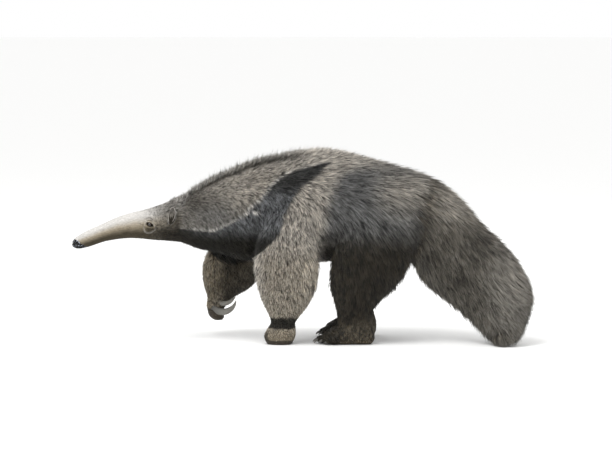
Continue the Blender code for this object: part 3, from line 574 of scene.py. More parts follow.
# Shares of a toe's radius at the points of its middle line, from inside the foot to the tip.
TOE_SHARES = np.array([1.10, 1.02, 0.98, 1.08, 0.90, 0.50])


def make_fist(name, stations, side):
    """A rounded forefoot whose coat thins from the wrist's depth to none."""
    rows = smooth_rows(stations, 4)
    down = np.linspace(0, 1, len(rows))
    depths = np.interp(down, (0.0, BARE_FROM, 1.0), (ARM_COAT, FOOT_COAT, FOOT_COAT))
    return loft(name, limb_rings(rows, turns(40), side, depths))


def make_hind_foot(name, side, shift):
    """A flat foot with heel, sole and five toes."""
    rings = []
    rows = smooth_rows(shifted(HIND_FOOT, 0, shift), 3)
    across, up = superellipse(turns(32), FOOT_POWER)
    for x, top, sole, half in rows:
        middle, height = (top + sole) / 2, (top - sole) / 2 - SOLE_COAT
        ys = side * SIDE_OF_LEG + (half - FOOT_COAT) * across
        rings.append(np.stack([np.full_like(ys, x), ys, middle + height * up], 1))
    foot = loft(name, np.array(rings))
    shin_rows = smooth_rows(shifted(HIND_LEG[-4:], 1, shift), 3)
    shin_depths = np.full(len(shin_rows), SHIN_COAT)
    joined = [loft("shin", limb_rings(shin_rows, turns(32), side, shin_depths))]
    for inwards, tip, radius in HIND_TOES:
        y, end = side * (SIDE_OF_LEG - inwards), tip + shift
        path = np.array(
            [
                (0.112 + shift, side * SIDE_OF_LEG + (y - side * SIDE_OF_LEG) * 0.9, 0.026),
                (0.5 * (end + 0.105 + shift), y, 0.0215),
                (end + 0.022, y, 0.0160),
                (end + 0.012, y, 0.0140),
                (end + 0.006, y, 0.0120),
                (end + 0.002, y, 0.0105),
            ]
        )
        joined.append(loft("toe", tube_rings(path, radius * TOE_SHARES, 16)))
    return fused(foot, joined)


feet = [make_fist("fist_near", NEAR_FIST, -1), make_fist("fist_far", FAR_FIST, 1)]
feet += [make_hind_foot("foot_near", -1, 0.0), make_hind_foot("foot_far", 1, FAR_HIND_SHIFT)]
for foot in feet:
    melted(foot, FOOT_VOXEL, rounds=4)
    print(foot.name, len(foot.data.polygons), "faces")

# %% [markdown]
# ## Head
#
# The head is a long tapering tube with a tiny mouth at its end. It gets its own close mesh, since the
# eye is only 15 mm across: rings lie closer together at the nose, the eye and the ear, and the points
# of each ring crowd towards the sides. The lids, the ring of folded skin round the eye, the nostrils
# and the lip line are then pressed into and drawn out of this mesh, as a sculptor would do in clay.

# %% Measures of the head
EYE_RADIUS = 0.0075
EYE_PLACE = Vector((-0.4485, -0.0345, 0.3505))
EAR_PLACE = Vector((-0.3825, -0.0550, 0.3770))
EAR_LENGTH = 0.054
EYE_TILT = math.radians(12)
NOSTRIL_PLACE = (-0.6812, 0.0058, 0.2925)
MOUTH_CORNER = -0.6470
LIP_LINE = ((-0.6835, 0.2812), (-0.6735, 0.2796), (-0.6570, 0.2800), (-0.6470, 0.2815))
# Half sizes of ovals round the eye, along and across its slit: the opening, the lids' fold, the ring.
SLIT_SIZE = (0.0105, 0.0058)
LID_SIZE = (0.0120, 0.0082)
RING_SIZE = (0.0165, 0.0205)
RING_DROP = 0.0050
NOSTRIL_SIZE = (0.0050, 0.0050, 0.0028)
# First and last ring of the head, the widest gap between rings, and how much it closes where needed.
HEAD_START = -0.6834
HEAD_END = -0.3490
RING_GAP = 0.0026
RING_CLOSER = 0.0016


def bump(values, middle, width):
    """A smooth hump one high round a middle value."""
    return np.exp(-(((values - middle) / width) ** 2))


def ramp(values, start, end):
    """A smooth step from 0 at the start value to 1 at the end value."""
    t = np.clip((values - start) / (end - start), 0.0, 1.0)
    return t * t * (3 - 2 * t)


def ring_places():
    """Where the head's rings lie: 1 mm apart at the nose and the eye, wider in between."""
    places, x = [], HEAD_START
    while x < HEAD_END:
        places.append(x)
        nose, eye, ear = bump(x, -0.676, 0.016), bump(x, EYE_PLACE.x, 0.022), bump(x, EAR_PLACE.x, 0.02)
        x += RING_GAP - RING_CLOSER * max(nose, eye, 0.6 * ear)
    return np.array(places)


def eye_shape(x, z):
    """Place beside the eye along and across its slit, in metres, on arrays of points."""
    along, up = x - EYE_PLACE.x, z - EYE_PLACE.z
    return (
        along * math.cos(EYE_TILT) - up * math.sin(EYE_TILT),
        along * math.sin(EYE_TILT) + up * math.cos(EYE_TILT),
    )


def oval(along, up, size, drop=0.0):
    """How far out a point lies from an oval's middle, one being on the oval itself."""
    return np.hypot(along / size[0], (up + drop) / size[1])


# %% Folds of the face
def eye_relief(x, y, z):
    """How far each point moves out for the eye's socket, its lids and the folded skin round it."""
    side = ramp(y, 0.012, 0.026)
    along, up = eye_shape(x, z)
    slit = oval(along, up, SLIT_SIZE)
    lid = oval(along, up, LID_SIZE)
    ring = oval(along, up, RING_SIZE, RING_DROP)
    relief = -0.0060 * (1 - ramp(slit, 0.75, 1.20)) * side
    relief += 0.0019 * bump(slit, 1.55, 0.38) * side
    relief -= 0.0012 * bump(lid, 1.45, 0.22) * ramp(up, -0.001, 0.004) * side
    relief -= 0.0014 * bump(lid, 1.75, 0.40) * ramp(-up, 0.002, 0.006) * side
    relief += 0.0009 * bump(ring, 1.02, 0.13) * side
    relief += 0.0022 * bump(along, 0.0, 0.022) * bump(up, 0.0225, 0.008) * side
    relief -= 0.0016 * bump(along, -0.030, 0.014) * bump(up, -0.004, 0.012) * side
    relief += 0.0020 * bump(x, -0.405, 0.022) * bump(z, 0.330, 0.018) * side
    rays = np.arctan2(up + 0.004, along)
    relief += 0.0005 * np.sin(11 * rays) * bump(ring, 1.45, 0.35) * side
    folds = 0.0006 * np.sin(x * 900 + 240 * z)
    relief += folds * ramp(x, -0.44, -0.42) * (1 - ramp(x, -0.37, -0.35)) * side
    return relief


def muzzle_relief(relief, x, y, z):
    """The relief with the nostrils, the lips and the two folds behind them."""
    width, depth, height = NOSTRIL_SIZE
    away = np.hypot((x - NOSTRIL_PLACE[0]) / width, (z - NOSTRIL_PLACE[2]) / height)
    away = np.hypot(away, (y - NOSTRIL_PLACE[1]) / depth)
    relief = relief - 0.0036 * np.exp(-(away**2))
    relief += 0.0007 * bump(away, 1.7, 0.45)
    lip = np.interp(x, *zip(*LIP_LINE))
    mouth = ramp(y, 0.0015, 0.0050) * (1 - ramp(x, MOUTH_CORNER - 0.004, MOUTH_CORNER + 0.001))
    relief -= 0.0019 * bump(z, lip, 0.0011) * mouth
    relief += 0.0009 * bump(z, lip - 0.0028, 0.0018) * mouth
    relief += 0.0006 * bump(x, -0.6715, 0.0040) * ramp(z, 0.284, 0.296)
    relief -= 0.0008 * bump(x, -0.6640, 0.0030) * ramp(z, 0.284, 0.296)
    return relief


# %% Head mesh
CROWDING = 0.30

head_rows = smooth_rows(HEAD_STATIONS, 24)
places = ring_places()
head_rows = np.stack([np.interp(places, head_rows[:, 0], column) for column in head_rows.T], 1)
around = turns(144)
crowded = around - CROWDING * np.sin(2 * around)
head_depths = np.interp(places, (-0.40, -0.372, HEAD_END), (HEAD_COAT, 0.0045, 0.0110))
rings = trunk_rings(head_rows, crowded, head_depths)
along_rings = np.gradient(rings, axis=0)
along_turn = np.roll(rings, -1, axis=1) - np.roll(rings, 1, axis=1)
outwards = np.cross(along_turn, along_rings)
outwards /= np.linalg.norm(outwards, axis=2, keepdims=True) + 1e-12
middles = rings.mean(axis=1, keepdims=True)
outwards *= np.sign((outwards * (rings - middles)).sum(axis=2, keepdims=True))
x, y, z = rings[..., 0], np.abs(rings[..., 1]), rings[..., 2]
relief = muzzle_relief(eye_relief(x, y, z), x, y, z)
head = loft("head_skin", rings + outwards * relief[..., None])
print("head:", rings.shape[0], "rings of", rings.shape[1], "points")

# %% [markdown]
# ## Ears
#
# The ears are small round cups of thin gristle, open to the front and the side. Half a ball pulled
# into an oval makes the cup, a wall thickness turns the shell into a solid, and one round of
# subdivision softens its rim before it is fused with the head.


# %% Ears
EAR_RADII = np.array((0.0120, 0.0125, 0.49 * EAR_LENGTH))
EAR_TURNED_OUT = math.radians(53)
EAR_TILTED = math.radians(16)
EAR_WALL = 0.0026
# In shares of the ball's radius: how far in front it is cut open, how much further in front that is
# at the top, and how much narrower the ear gets towards its foot.
EAR_CUT = 0.10
EAR_CUT_SLOPE = 0.15
EAR_PINCH = 0.38


def ear_turn(side):
    """How an ear is turned: forwards and outwards, and a little back at its top."""
    return Matrix.Rotation(-side * EAR_TURNED_OUT, 3, "Z") @ Matrix.Rotation(EAR_TILTED, 3, "Y")


def ear_place(points):
    """Places in the ear's own frame, where its shell is a ball of radius one that opens towards -x."""
    mirrored = points * (1, 0, 1) - np.abs(points) * (0, 1, 0)
    return (mirrored - np.array(EAR_PLACE)) @ np.array(ear_turn(-1)) / EAR_RADII


def make_ear(name, side):
    """A small rounded cup that stands out from the side of the head and opens forwards and outwards."""
    bm = bmesh.new()
    bmesh.ops.create_uvsphere(bm, u_segments=28, v_segments=18, radius=1.0)
    front = [v for v in bm.verts if v.co.x < -EAR_CUT - EAR_CUT_SLOPE * v.co.z]
    bmesh.ops.delete(bm, geom=front, context="VERTS")
    for vert in bm.verts:
        pinch = 1 - EAR_PINCH * max(0.0, -vert.co.z)
        vert.co = vert.co * Vector(EAR_RADII)
        vert.co.y *= pinch
    bmesh.ops.rotate(bm, cent=(0, 0, 0), matrix=ear_turn(side), verts=bm.verts)
    bmesh.ops.translate(bm, vec=Vector((EAR_PLACE.x, -side * EAR_PLACE.y, EAR_PLACE.z)), verts=bm.verts)
    mesh = bpy.data.meshes.new(name)
    bm.to_mesh(mesh)
    bm.free()
    ear = bpy.data.objects.new(name, mesh)
    forms.objects.link(ear)
    wall = ear.modifiers.new("wall", "SOLIDIFY")
    wall.thickness = EAR_WALL
    wall.offset = 0
    rounder = ear.modifiers.new("rounder", "SUBSURF")
    rounder.levels = 1
    rounder.render_levels = 1
    return applied(ear)


fused(head, [make_ear("ear_near", -1), make_ear("ear_far", 1)])
fused(hide, [head] + feet)
print("skin:", len(hide.data.polygons), "faces")

# %% [markdown]
# ## Zones of the body
#
# All flesh is now one closed skin, so it stands for every fleshy node and no seam shows. Its parts
# still differ in colour and in the lie of their hair. Three slanting cuts and a box for each limb
# name the part that a place belongs to, which needs no list of faces and works for hairs as well.

# %% Zones of the body
HEAD_CUT = (np.array((-0.355, 0, 0.36)), np.array((-0.97, 0, 0.243)))
NECK_CUT = (np.array((-0.205, 0, 0.39)), np.array((-0.92, 0, 0.39)))
TAIL_CUT = (np.array((0.339, 0, 0.235)), np.array((0.991, 0, -0.132)))
# Limb zones: side, x from, x to, height of the top next to the body and away from it.
LIMB_ZONES = (
    ("arm_near", -1, -0.40, 0.085, 0.190, 0.430),
    ("arm_far", 1, -0.40, 0.085, 0.190, 0.430),
    ("leg_near", -1, 0.030, 0.50, 0.205, 0.450),
    ("leg_far", 1, 0.030, 0.50, 0.205, 0.450),
)
ZONES = ("torso", "neck", "head", "tail", "arm_near", "arm_far", "leg_near", "leg_far")
ZONE = {name: i for i, name in enumerate(ZONES)}
# A limb's zone starts just beside the spine, and its top rises over the distance that follows.
LIMB_START = 0.004
LIMB_SPREAD = 0.296
# Above the hock the hind leg's zone starts this much further back.
HOCK_HEIGHT = 0.12
THIGH_SHIFT = 0.056


def beyond(points, cut):
    """Which points lie on the far side of a cut."""
    return (points - cut[0]) @ cut[1] > 0


def zones_of(points):
    """The body part that each point belongs to, as an index into ZONES."""
    found = np.full(len(points), ZONE["torso"])
    found[beyond(points, NECK_CUT)] = ZONE["neck"]
    found[beyond(points, HEAD_CUT)] = ZONE["head"]
    x, y, z = points.T
    for name, side, x_low, x_high, inner, outer in LIMB_ZONES:
        share = (side * y - LIMB_START) / LIMB_SPREAD
        front = np.where((x_low > 0) & (z > HOCK_HEIGHT), x_low + THIGH_SHIFT, x_low)
        inside = (share > 0) & (x > front) & (x < x_high) & (z < inner + share * (outer - inner))
        found[inside] = ZONE[name]
    found[beyond(points, TAIL_CUT)] = ZONE["tail"]
    return found


print("zones:", *ZONES)

# %% [markdown]
# ## Unwrap
#
# A furrier lays a hide flat in panels. The skin is flattened the same way, each zone unrolled round
# its own axis onto its own patch of the map, with the seam on the side that shows least. Working it
# out from the shape keeps the stretch even, and a tuft finds its place on the map by its root alone.

# %% Unwrap
# Each zone's patch on the map: left, bottom, width, height.
PATCHES = {
    "head": (0.01, 0.76, 0.48, 0.23),
    "neck": (0.51, 0.76, 0.22, 0.23),
    "torso": (0.01, 0.40, 0.72, 0.34),
    "tail": (0.01, 0.01, 0.60, 0.37),
    "arm_near": (0.76, 0.76, 0.11, 0.23),
    "arm_far": (0.88, 0.76, 0.11, 0.23),
    "leg_near": (0.76, 0.40, 0.11, 0.34),
    "leg_far": (0.88, 0.40, 0.11, 0.34),
}
# What a patch takes in from left to right: x of the trunk's zones, heights of a limb.
TRUNK_SPANS = (("head", -0.69, -0.33), ("neck", -0.42, -0.17), ("torso", -0.26, 0.38))
LIMB_SPAN = (-0.01, 0.46)
LIMB_TABLES = (
    ("arm_near", NEAR_ARM, -1),
    ("arm_far", FAR_ARM, 1),
    ("leg_near", HIND_LEG, -1),
    ("leg_far", HIND_LEG, 1),
)
# Share of a patch's height that a full turn takes up.
TURN_SHARE = 0.96


def trunk_place(points):
    """Place along the trunk in metres, and angle round its axis."""
    rows = smooth_rows(HEAD_STATIONS[:-3] + BODY_STATIONS[1:], 6)
    middle = np.interp(points[:, 0], rows[:, 0], (rows[:, 1] + rows[:, 2]) / 2)
    return points[:, 0], np.arctan2(points[:, 1], points[:, 2] - middle)


def limb_place(points, stations, side):
    """Height, and angle round the limb's axis."""
    rows = np.array(sorted(stations))
    x = points[:, 0] - np.interp(points[:, 2], rows[:, 0], rows[:, 1])
    y = points[:, 1] - side * np.interp(points[:, 2], rows[:, 0], rows[:, 3])
    return points[:, 2], np.arctan2(y, x)


TAIL_MIDDLES = tail_points(TAIL_ROWS, np.linspace(0, 1, 60), np.zeros(60), np.zeros(60))


def tail_place(points):
    """Place along the tail's middle line from 0 to 1, and angle round it from the under edge."""
    gaps = np.linalg.norm(points[:, None, :] - TAIL_MIDDLES[None], axis=2)
    at = gaps.argmin(axis=1) / (len(TAIL_MIDDLES) - 1)
    back_x, back_z, under_x, under_z, half = rows_at(TAIL_ROWS, at).T
    down = np.stack([under_x - back_x, 0 * half, under_z - back_z], 1)
    down /= np.linalg.norm(down, axis=1, keepdims=True)
    off = points - TAIL_MIDDLES[gaps.argmin(axis=1)]
    return at, np.arctan2(off[:, 1], (off * down).sum(axis=1))


def unwrapped(points, zones):
    """Map places of points, each on the patch of its zone, with the angle still open at the seam."""
    along, angle = np.zeros(len(points)), np.zeros(len(points))
    reach = np.array([(0.0, 1.0)] * len(ZONES))
    for name, low, high in TRUNK_SPANS:
        mine = zones == ZONE[name]
        along[mine], angle[mine] = trunk_place(points[mine])
        reach[ZONE[name]] = low, high
    for name, stations, side in LIMB_TABLES:
        mine = zones == ZONE[name]
        along[mine], angle[mine] = limb_place(points[mine], stations, side)
        reach[ZONE[name]] = LIMB_SPAN
    mine = zones == ZONE["tail"]
    along[mine], angle[mine] = tail_place(points[mine])
    low, high = reach[zones].T
    left, bottom, width, height = np.array([PATCHES[name] for name in ZONES])[zones].T
    return left + width * (along - low) / (high - low), angle / (2 * math.pi), bottom, height


def on_map(place_along, turn, bottom, height):
    """The map place once the turn is settled."""
    return np.stack([place_along, bottom + height * np.clip(0.5 + turn * TURN_SHARE, 0.0, 1.0)], 1)


def unwrap_faces(mesh, points, faces):
    """Writes the OFBake map of a triangle mesh, keeping each face on one side of its seam."""
    zones = np.repeat(zones_of(points[faces].mean(axis=1)), 3)
    along, turn, bottom, height = unwrapped(points[faces].reshape(-1, 3), zones)
    turn = turn.reshape(-1, 3)
    crosses = np.ptp(turn, axis=1) > 0.5
    turn[crosses] = np.where(turn[crosses] < 0, turn[crosses] + 1, turn[crosses])
    uv = on_map(along, turn.reshape(-1), bottom, height)
    layer = mesh.uv_layers.new(name="OFBake")
    layer.uv.foreach_set("vector", uv.astype(np.float32).ravel())


# %% [markdown]
# ## The skin as arrays
#
# Hair, colours and the map are all worked out for many thousand places at once, which is quick on
# plain arrays and slow through Blender's own objects. So the skin is cut into triangles and its
# points, normals and faces are read out once, with a search tree for the nearest place on it.

# %% Skin as arrays
# No point of the skin lies lower than this, because the soles stand on the floor.
LOWEST_SKIN = 0.0002

hide.modifiers.new("triangles", "TRIANGULATE")
applied(hide)
skin_mesh = hide.data
SKIN_POINTS = np.empty(len(skin_mesh.vertices) * 3)
skin_mesh.vertices.foreach_get("co", SKIN_POINTS)
SKIN_POINTS = SKIN_POINTS.reshape(-1, 3)
SKIN_POINTS[:, 2] = np.maximum(SKIN_POINTS[:, 2], LOWEST_SKIN)
skin_mesh.vertices.foreach_set("co", SKIN_POINTS.ravel())
skin_mesh.update()
SKIN_FACES = np.empty(len(skin_mesh.polygons) * 3, np.int32)
skin_mesh.polygons.foreach_get("vertices", SKIN_FACES)
SKIN_FACES = SKIN_FACES.reshape(-1, 3)
SKIN_NORMALS = np.empty(len(skin_mesh.vertices) * 3)
skin_mesh.vertices.foreach_get("normal", SKIN_NORMALS)
SKIN_NORMALS = SKIN_NORMALS.reshape(-1, 3)
SKIN_TREE = BVHTree.FromPolygons(SKIN_POINTS.tolist(), SKIN_FACES.tolist())
unwrap_faces(skin_mesh, SKIN_POINTS, SKIN_FACES)
print("skin:", len(SKIN_POINTS), "points,", len(SKIN_FACES), "triangles")

# %% [markdown]
# ## Markings
#
# A giant anteater wears a dark band from throat to shoulder with a thin white line above it, a pale
# band down the shoulder and foreleg, a black bracelet at the wrist, and a dark flank, hind leg and
# tail. The borders are short lines drawn on the side view, the same on both sides. Skin and hair ask
# the same function for their shares of each colour, so the pattern runs through the whole coat.

# %% Borders and colours
# Borders on the side view as x, z: the throat band's upper and lower edge, the flank's edge, the crest.
WHITE_LINE = (
    (-0.369, 0.337),
    (-0.312, 0.337),
    (-0.258, 0.334),
    (-0.210, 0.357),
    (-0.162, 0.381),
    (-0.144, 0.404),
    (-0.114, 0.428),
    (-0.081, 0.473),
    (-0.045, 0.500),
    (-0.021, 0.512),
    (0.051, 0.533),
    (0.093, 0.542),
)
BAND_EDGE = (
    (0.093, 0.539),
    (0.051, 0.500),
    (0.003, 0.464),
    (-0.024, 0.419),
    (-0.045, 0.382),
    (-0.054, 0.343),
    (-0.072, 0.310),
    (-0.105, 0.280),
    (-0.138, 0.250),
    (-0.170, 0.215),
)
FLANK_EDGE = (
    (0.160, 0.545),
    (0.120, 0.515),
    (0.090, 0.467),
    (0.072, 0.410),
    (0.066, 0.361),
    (0.057, 0.322),
    (0.054, 0.244),
    (0.040, 0.200),
)
CREST_LINE = (
    (-0.380, 0.416),
    (-0.300, 0.455),
    (-0.225, 0.489),
    (-0.150, 0.520),
    (-0.075, 0.541),
    (0.000, 0.553),
    (0.060, 0.562),
)

# A small whorl of pale hair on the shoulder, where the throat band meets the white line.
WHORL = (-0.130, 0.392)

# Hair colours as sRGB hex: what each share of a marking is painted with.
HAIR_COLOURS = (
    ("grizzled", "8f897f"),
    ("dark", "211f18"),
    ("slate", "7b7d7f"),
    ("pale", "cac2b7"),
    ("white", "dfdcd7"),
    ("tan", "8f826a"),
    ("brown", "2a2417"),
    ("snout", "b3b0ac"),
)


# %% Tools for painting
def signed_gap(x, z, line):
    """Distance of side-view places from an open line, positive on its left as it runs."""
    line = np.array(line)
    best = np.full(len(x), 1e9)
    sign = np.ones(len(x))
    for (ax, az), (bx, bz) in zip(line[:-1], line[1:]):
        length = math.hypot(bx - ax, bz - az)
        dx, dz = (bx - ax) / length, (bz - az) / length
        t = np.clip((x - ax) * dx + (z - az) * dz, 0, length)
        gap = np.hypot(x - ax - t * dx, z - az - t * dz)
        closer = gap < best
        left = dx * (z - az) - dz * (x - ax)
        best = np.where(closer, gap, best)
        sign = np.where(closer, np.sign(left), sign)
    return best * sign


def ruffled(points, size, seed=0.0):
    """A soft, seeded unevenness between -1 and 1 whose waves are about this long in metres."""
    k = 2 * math.pi / size
    x, y, z = points.T
    waves = np.sin(k * (x + 0.6 * y) + 1.7 * seed) * np.sin(k * (1.1 * z - 0.4 * x) + 2.3 + seed)
    waves += 0.6 * np.sin(k * (1.9 * z + 1.3 * y) + 0.9 + seed) * np.sin(k * 1.7 * x + 4.1 * seed)
    return waves / 1.6


def over(shares, name, amount):
    """Lays a colour over what is there, by this share."""
    for other in shares:
        shares[other] = shares[other] * (1 - amount)
    shares[name] = shares[name] + amount


def places_of(points):
    """What the painting asks of each point: its side-view place, made uneven, and its body part."""
    zones = zones_of(points)
    wobble = 0.006 * ruffled(points, 0.05)
    at = SimpleNamespace(points=points, x=points[:, 0] + wobble, z=points[:, 2] + 0.5 * wobble)
    at.aside = np.abs(points[:, 1])
    at.tail, at.head = zones == ZONE["tail"], zones == ZONE["head"]
    at.near_arm, at.far_arm = zones == ZONE["arm_near"], zones == ZONE["arm_far"]
    at.arms = at.near_arm | at.far_arm
    at.hind = (zones == ZONE["leg_near"]) | (zones == ZONE["leg_far"])
    at.trunk = ~(at.tail | at.hind | at.arms | at.head)
    at.above = signed_gap(at.x, at.z, WHITE_LINE)
    at.behind = signed_gap(at.x, at.z, BAND_EDGE)
    at.flank = ramp(signed_gap(at.x, at.z, FLANK_EDGE), -0.020, 0.028) * (1 - ramp(at.z, 0.50, 0.545))
    return at


# %% Painting the trunk
def paint_back(shares, at):
    """Neck and back: tan and pale patches, a dark line of hair along the crest, pale loins."""
    x, z, trunk = at.x, at.z, at.trunk
    over(shares, "slate", 0.55 * bump(x, -0.25, 0.09) * bump(z, 0.375, 0.045) * trunk)
    over(shares, "tan", 0.35 * bump(x, -0.15, 0.09) * bump(z, 0.470, 0.050) * trunk)
    over(shares, "pale", 0.80 * bump(x, -0.15, 0.08) * bump(z, 0.455, 0.045) * trunk)
    over(shares, "pale", 0.50 * bump(x, -0.05, 0.09) * bump(z, 0.520, 0.028) * trunk)
    over(shares, "brown", 0.55 * bump(x, -0.32, 0.05) * bump(z, 0.420, 0.030) * trunk)
    crest = np.interp(x, *zip(*CREST_LINE))
    dark_hair = 0.80 * ramp(z, crest - 0.008, crest)
    over(shares, "brown", dark_hair * ramp(-x, 0.0, 0.06) * (1 - ramp(-x, 0.37, 0.40)))
    uneven = 0.35 + 0.3 * ruffled(at.points, 0.07, 5.0)
    over(shares, "dark", uneven * bump(z, crest, 0.009) * ramp(-x, -0.06, -0.01) * (1 - ramp(-x, 0.36, 0.39)))
    over(shares, "pale", 0.85 * ramp(x, -0.02, 0.05) * ramp(z, 0.49, 0.54) * (1 - ramp(x, 0.16, 0.30)))


def paint_flank(shares, at):
    """Flank, rump and belly: slate grey that grows darker and browner downwards, a paler loin."""
    x, z, trunk = at.x, at.z, at.trunk
    both = trunk | at.hind
    over(shares, "slate", 0.85 * at.flank * both)
    over(shares, "brown", 0.15 * at.flank * both)
    over(shares, "brown", 0.94 * at.flank * (1 - ramp(z, 0.27, 0.38)) * both)
    over(shares, "tan", 0.40 * ramp(x, 0.18, 0.32) * bump(z, 0.45, 0.06) * trunk)
    over(shares, "pale", 0.60 * ramp(x, 0.18, 0.30) * bump(z, 0.46, 0.05) * trunk)


def paint_band(shares, at):
    """The dark band of throat, chest and shoulder, with its white line and the small whorl."""
    x, z, above, trunk = at.x, at.z, at.above, at.trunk
    band = ramp(-above, -0.003, 0.005) * ramp(-at.behind, -0.004, 0.008) * (1 - ramp(x, 0.085, 0.10))
    band = band * ~at.hind * ~at.tail * (x < 0.10)
    over(shares, "slate", band)
    over(shares, "dark", band * np.clip(0.8 * ramp(z, 0.42, 0.48) + 1 - ramp(z, 0.30, 0.36), 0, 1))
    over(shares, "brown", 0.85 * band * (1 - ramp(x, -0.37, -0.27)))
    line = bump(above, 0.003, 0.0034) * ramp(x, -0.36, -0.30) * (1 - 0.7 * ramp(x, -0.09, 0.0))
    over(shares, "white", 0.9 * (line * (x < 0.06)) * (trunk | at.near_arm))
    whorl = np.hypot(0.75 * (x - WHORL[0]), 1.5 * (z - WHORL[1]))
    over(shares, "dark", 0.9 * bump(whorl, 0.015, 0.004) * ramp(z, WHORL[1], WHORL[1] + 0.006) * trunk)
    over(shares, "white", 0.9 * (1 - ramp(whorl, 0.007, 0.011)) * trunk)


# %% Painting the limbs and the tail
def paint_arms(shares, at):
    """The pale band of shoulder and forelegs, tan lower down, black wrists and dark knuckles, with painted
    shade over the far foreleg and in its wrist's folds.
    """
    x, z, near_arm, far_arm = at.x, at.z, at.near_arm, at.far_arm
    pale = ramp(at.behind, -0.004, 0.008) * (1 - at.flank) * (x < 0.16) * at.trunk
    over(shares, "pale", 0.85 * pale)
    low_arm = at.arms & (at.behind > -0.005)
    over(shares, "pale", 0.9 * low_arm * (1 - ramp(x, 0.045, 0.065)))
    over(shares, "tan", 0.60 * low_arm * (1 - ramp(z, 0.22, 0.33)) * ramp(x, -0.13, -0.09))
    over(shares, "dark", 0.97 * near_arm * ramp(z, 0.044, 0.050) * (1 - ramp(z, 0.077, 0.085)))
    over(shares, "tan", 0.5 * near_arm * (1 - ramp(z, 0.035, 0.050)))
    over(shares, "brown", 0.7 * near_arm * (1 - ramp(z, 0.006, 0.016)))
    over(shares, "dark", 0.8 * near_arm * (1 - ramp(z, 0.030, 0.042)) * (1 - ramp(x, -0.098, -0.088)))
    # Painted shade: the far foreleg is tan and brown where it stands in shade.
    over(shares, "tan", 0.8 * far_arm * (1 - ramp(z, 0.28, 0.37)))
    over(shares, "brown", 0.85 * far_arm * ramp(x, -0.275, -0.215) * (1 - ramp(z, 0.28, 0.37)))
    # Painted shade in the folds of the bent far wrist.
    folds = 0.5 + 0.5 * np.sin(z * 420 + x * 160 + 1.5 * ruffled(at.points, 0.05, 3.0))
    over(shares, "brown", 0.45 * far_arm * folds * ramp(x, -0.285, -0.26) * (1 - ramp(z, 0.16, 0.21)))
    over(shares, "dark", 0.95 * far_arm * (1 - ramp(z, 0.078, 0.092)))


def paint_hind(shares, at):
    """Dark hind legs with tan toes, a dark tail with painted highlights where its hair bends, and painted
    shade where the tail meets the rump.
    """
    x, z, hind, tail = at.x, at.z, at.hind, at.tail
    over(shares, "brown", 0.97 * hind * (1 - ramp(z, 0.25, 0.36)))
    over(shares, "tan", 0.20 * hind * (1 - ramp(z, 0.03, 0.10)) * ramp(x, 0.10, 0.14))
    over(shares, "tan", 0.55 * hind * (1 - ramp(z, 0.006, 0.014)) * (x > 0.12))
    over(shares, "tan", 0.35 * tail)
    over(shares, "brown", 0.84 * tail * (0.85 + 0.25 * ruffled(at.points, 0.16, 1.0)))
    # Painted shade in the notch under the tail's root, against the rump.
    over(shares, "brown", 0.50 * (at.trunk | tail) * bump(x, 0.365, 0.050) * bump(z, 0.325, 0.070))
    # Painted highlight where the brush bends over at the top of its arch.
    over(shares, "tan", 0.75 * tail * bump(x, 0.445, 0.055) * bump(z, 0.415, 0.055))
    over(shares, "pale", 0.65 * tail * bump(x, 0.445, 0.055) * bump(z, 0.415, 0.055))
    # Painted highlight where the brush bends round at its back edge.
    over(shares, "grizzled", 0.75 * tail * bump(x, 0.595, 0.055) * bump(z, 0.15, 0.11))
    over(shares, "pale", 0.40 * tail * bump(x, 0.620, 0.040) * bump(z, 0.215, 0.110))
    over(shares, "dark", 0.8 * tail * ramp(x, 0.63, 0.68) * (1 - ramp(z, 0.08, 0.15)))


# %% Painting the head
def paint_head(shares, at):
    """Head: pale and grey above with a painted highlight along the top, browner below, partly its own hair
    and partly painted shade, mottled behind the eye, dark at the jaw's back.
    """
    x, z, head, points = at.x, at.z, at.head, at.points
    over(shares, "snout", head * 1.0)
    stations, tops, undersides = np.array(HEAD_STATIONS).T[:3]
    top, under = np.interp(x, stations, tops), np.interp(x, stations, undersides)
    height = (z - under) / (top - under)
    # Browner towards the underside: partly the hair's own colour, partly painted shade.
    over(shares, "tan", 0.85 * head * (1 - ramp(height, 0.44, 0.84)))
    over(shares, "brown", 0.94 * head * (1 - ramp(height, 0.20, 0.64)))
    # Painted highlight along the top of the snout.
    over(shares, "white", 0.30 * head * ramp(height, 0.62, 0.92) * (1 - ramp(x, -0.50, -0.44)))
    mottled = 0.55 + 0.45 * ruffled(points, 0.018, 2.0)
    over(shares, "brown", 0.13 * head * np.clip(ruffled(points * (0.3, 1, 1), 0.012, 6.0), 0, 1))
    over(shares, "grizzled", 0.8 * head * ramp(x, -0.46, -0.39) * mottled)
    over(shares, "brown", 0.55 * head * ramp(x, -0.44, -0.38) * mottled)
    over(shares, "brown", 0.9 * head * ramp(x, -0.46, -0.40) * (1 - ramp(z, 0.325, 0.350)))


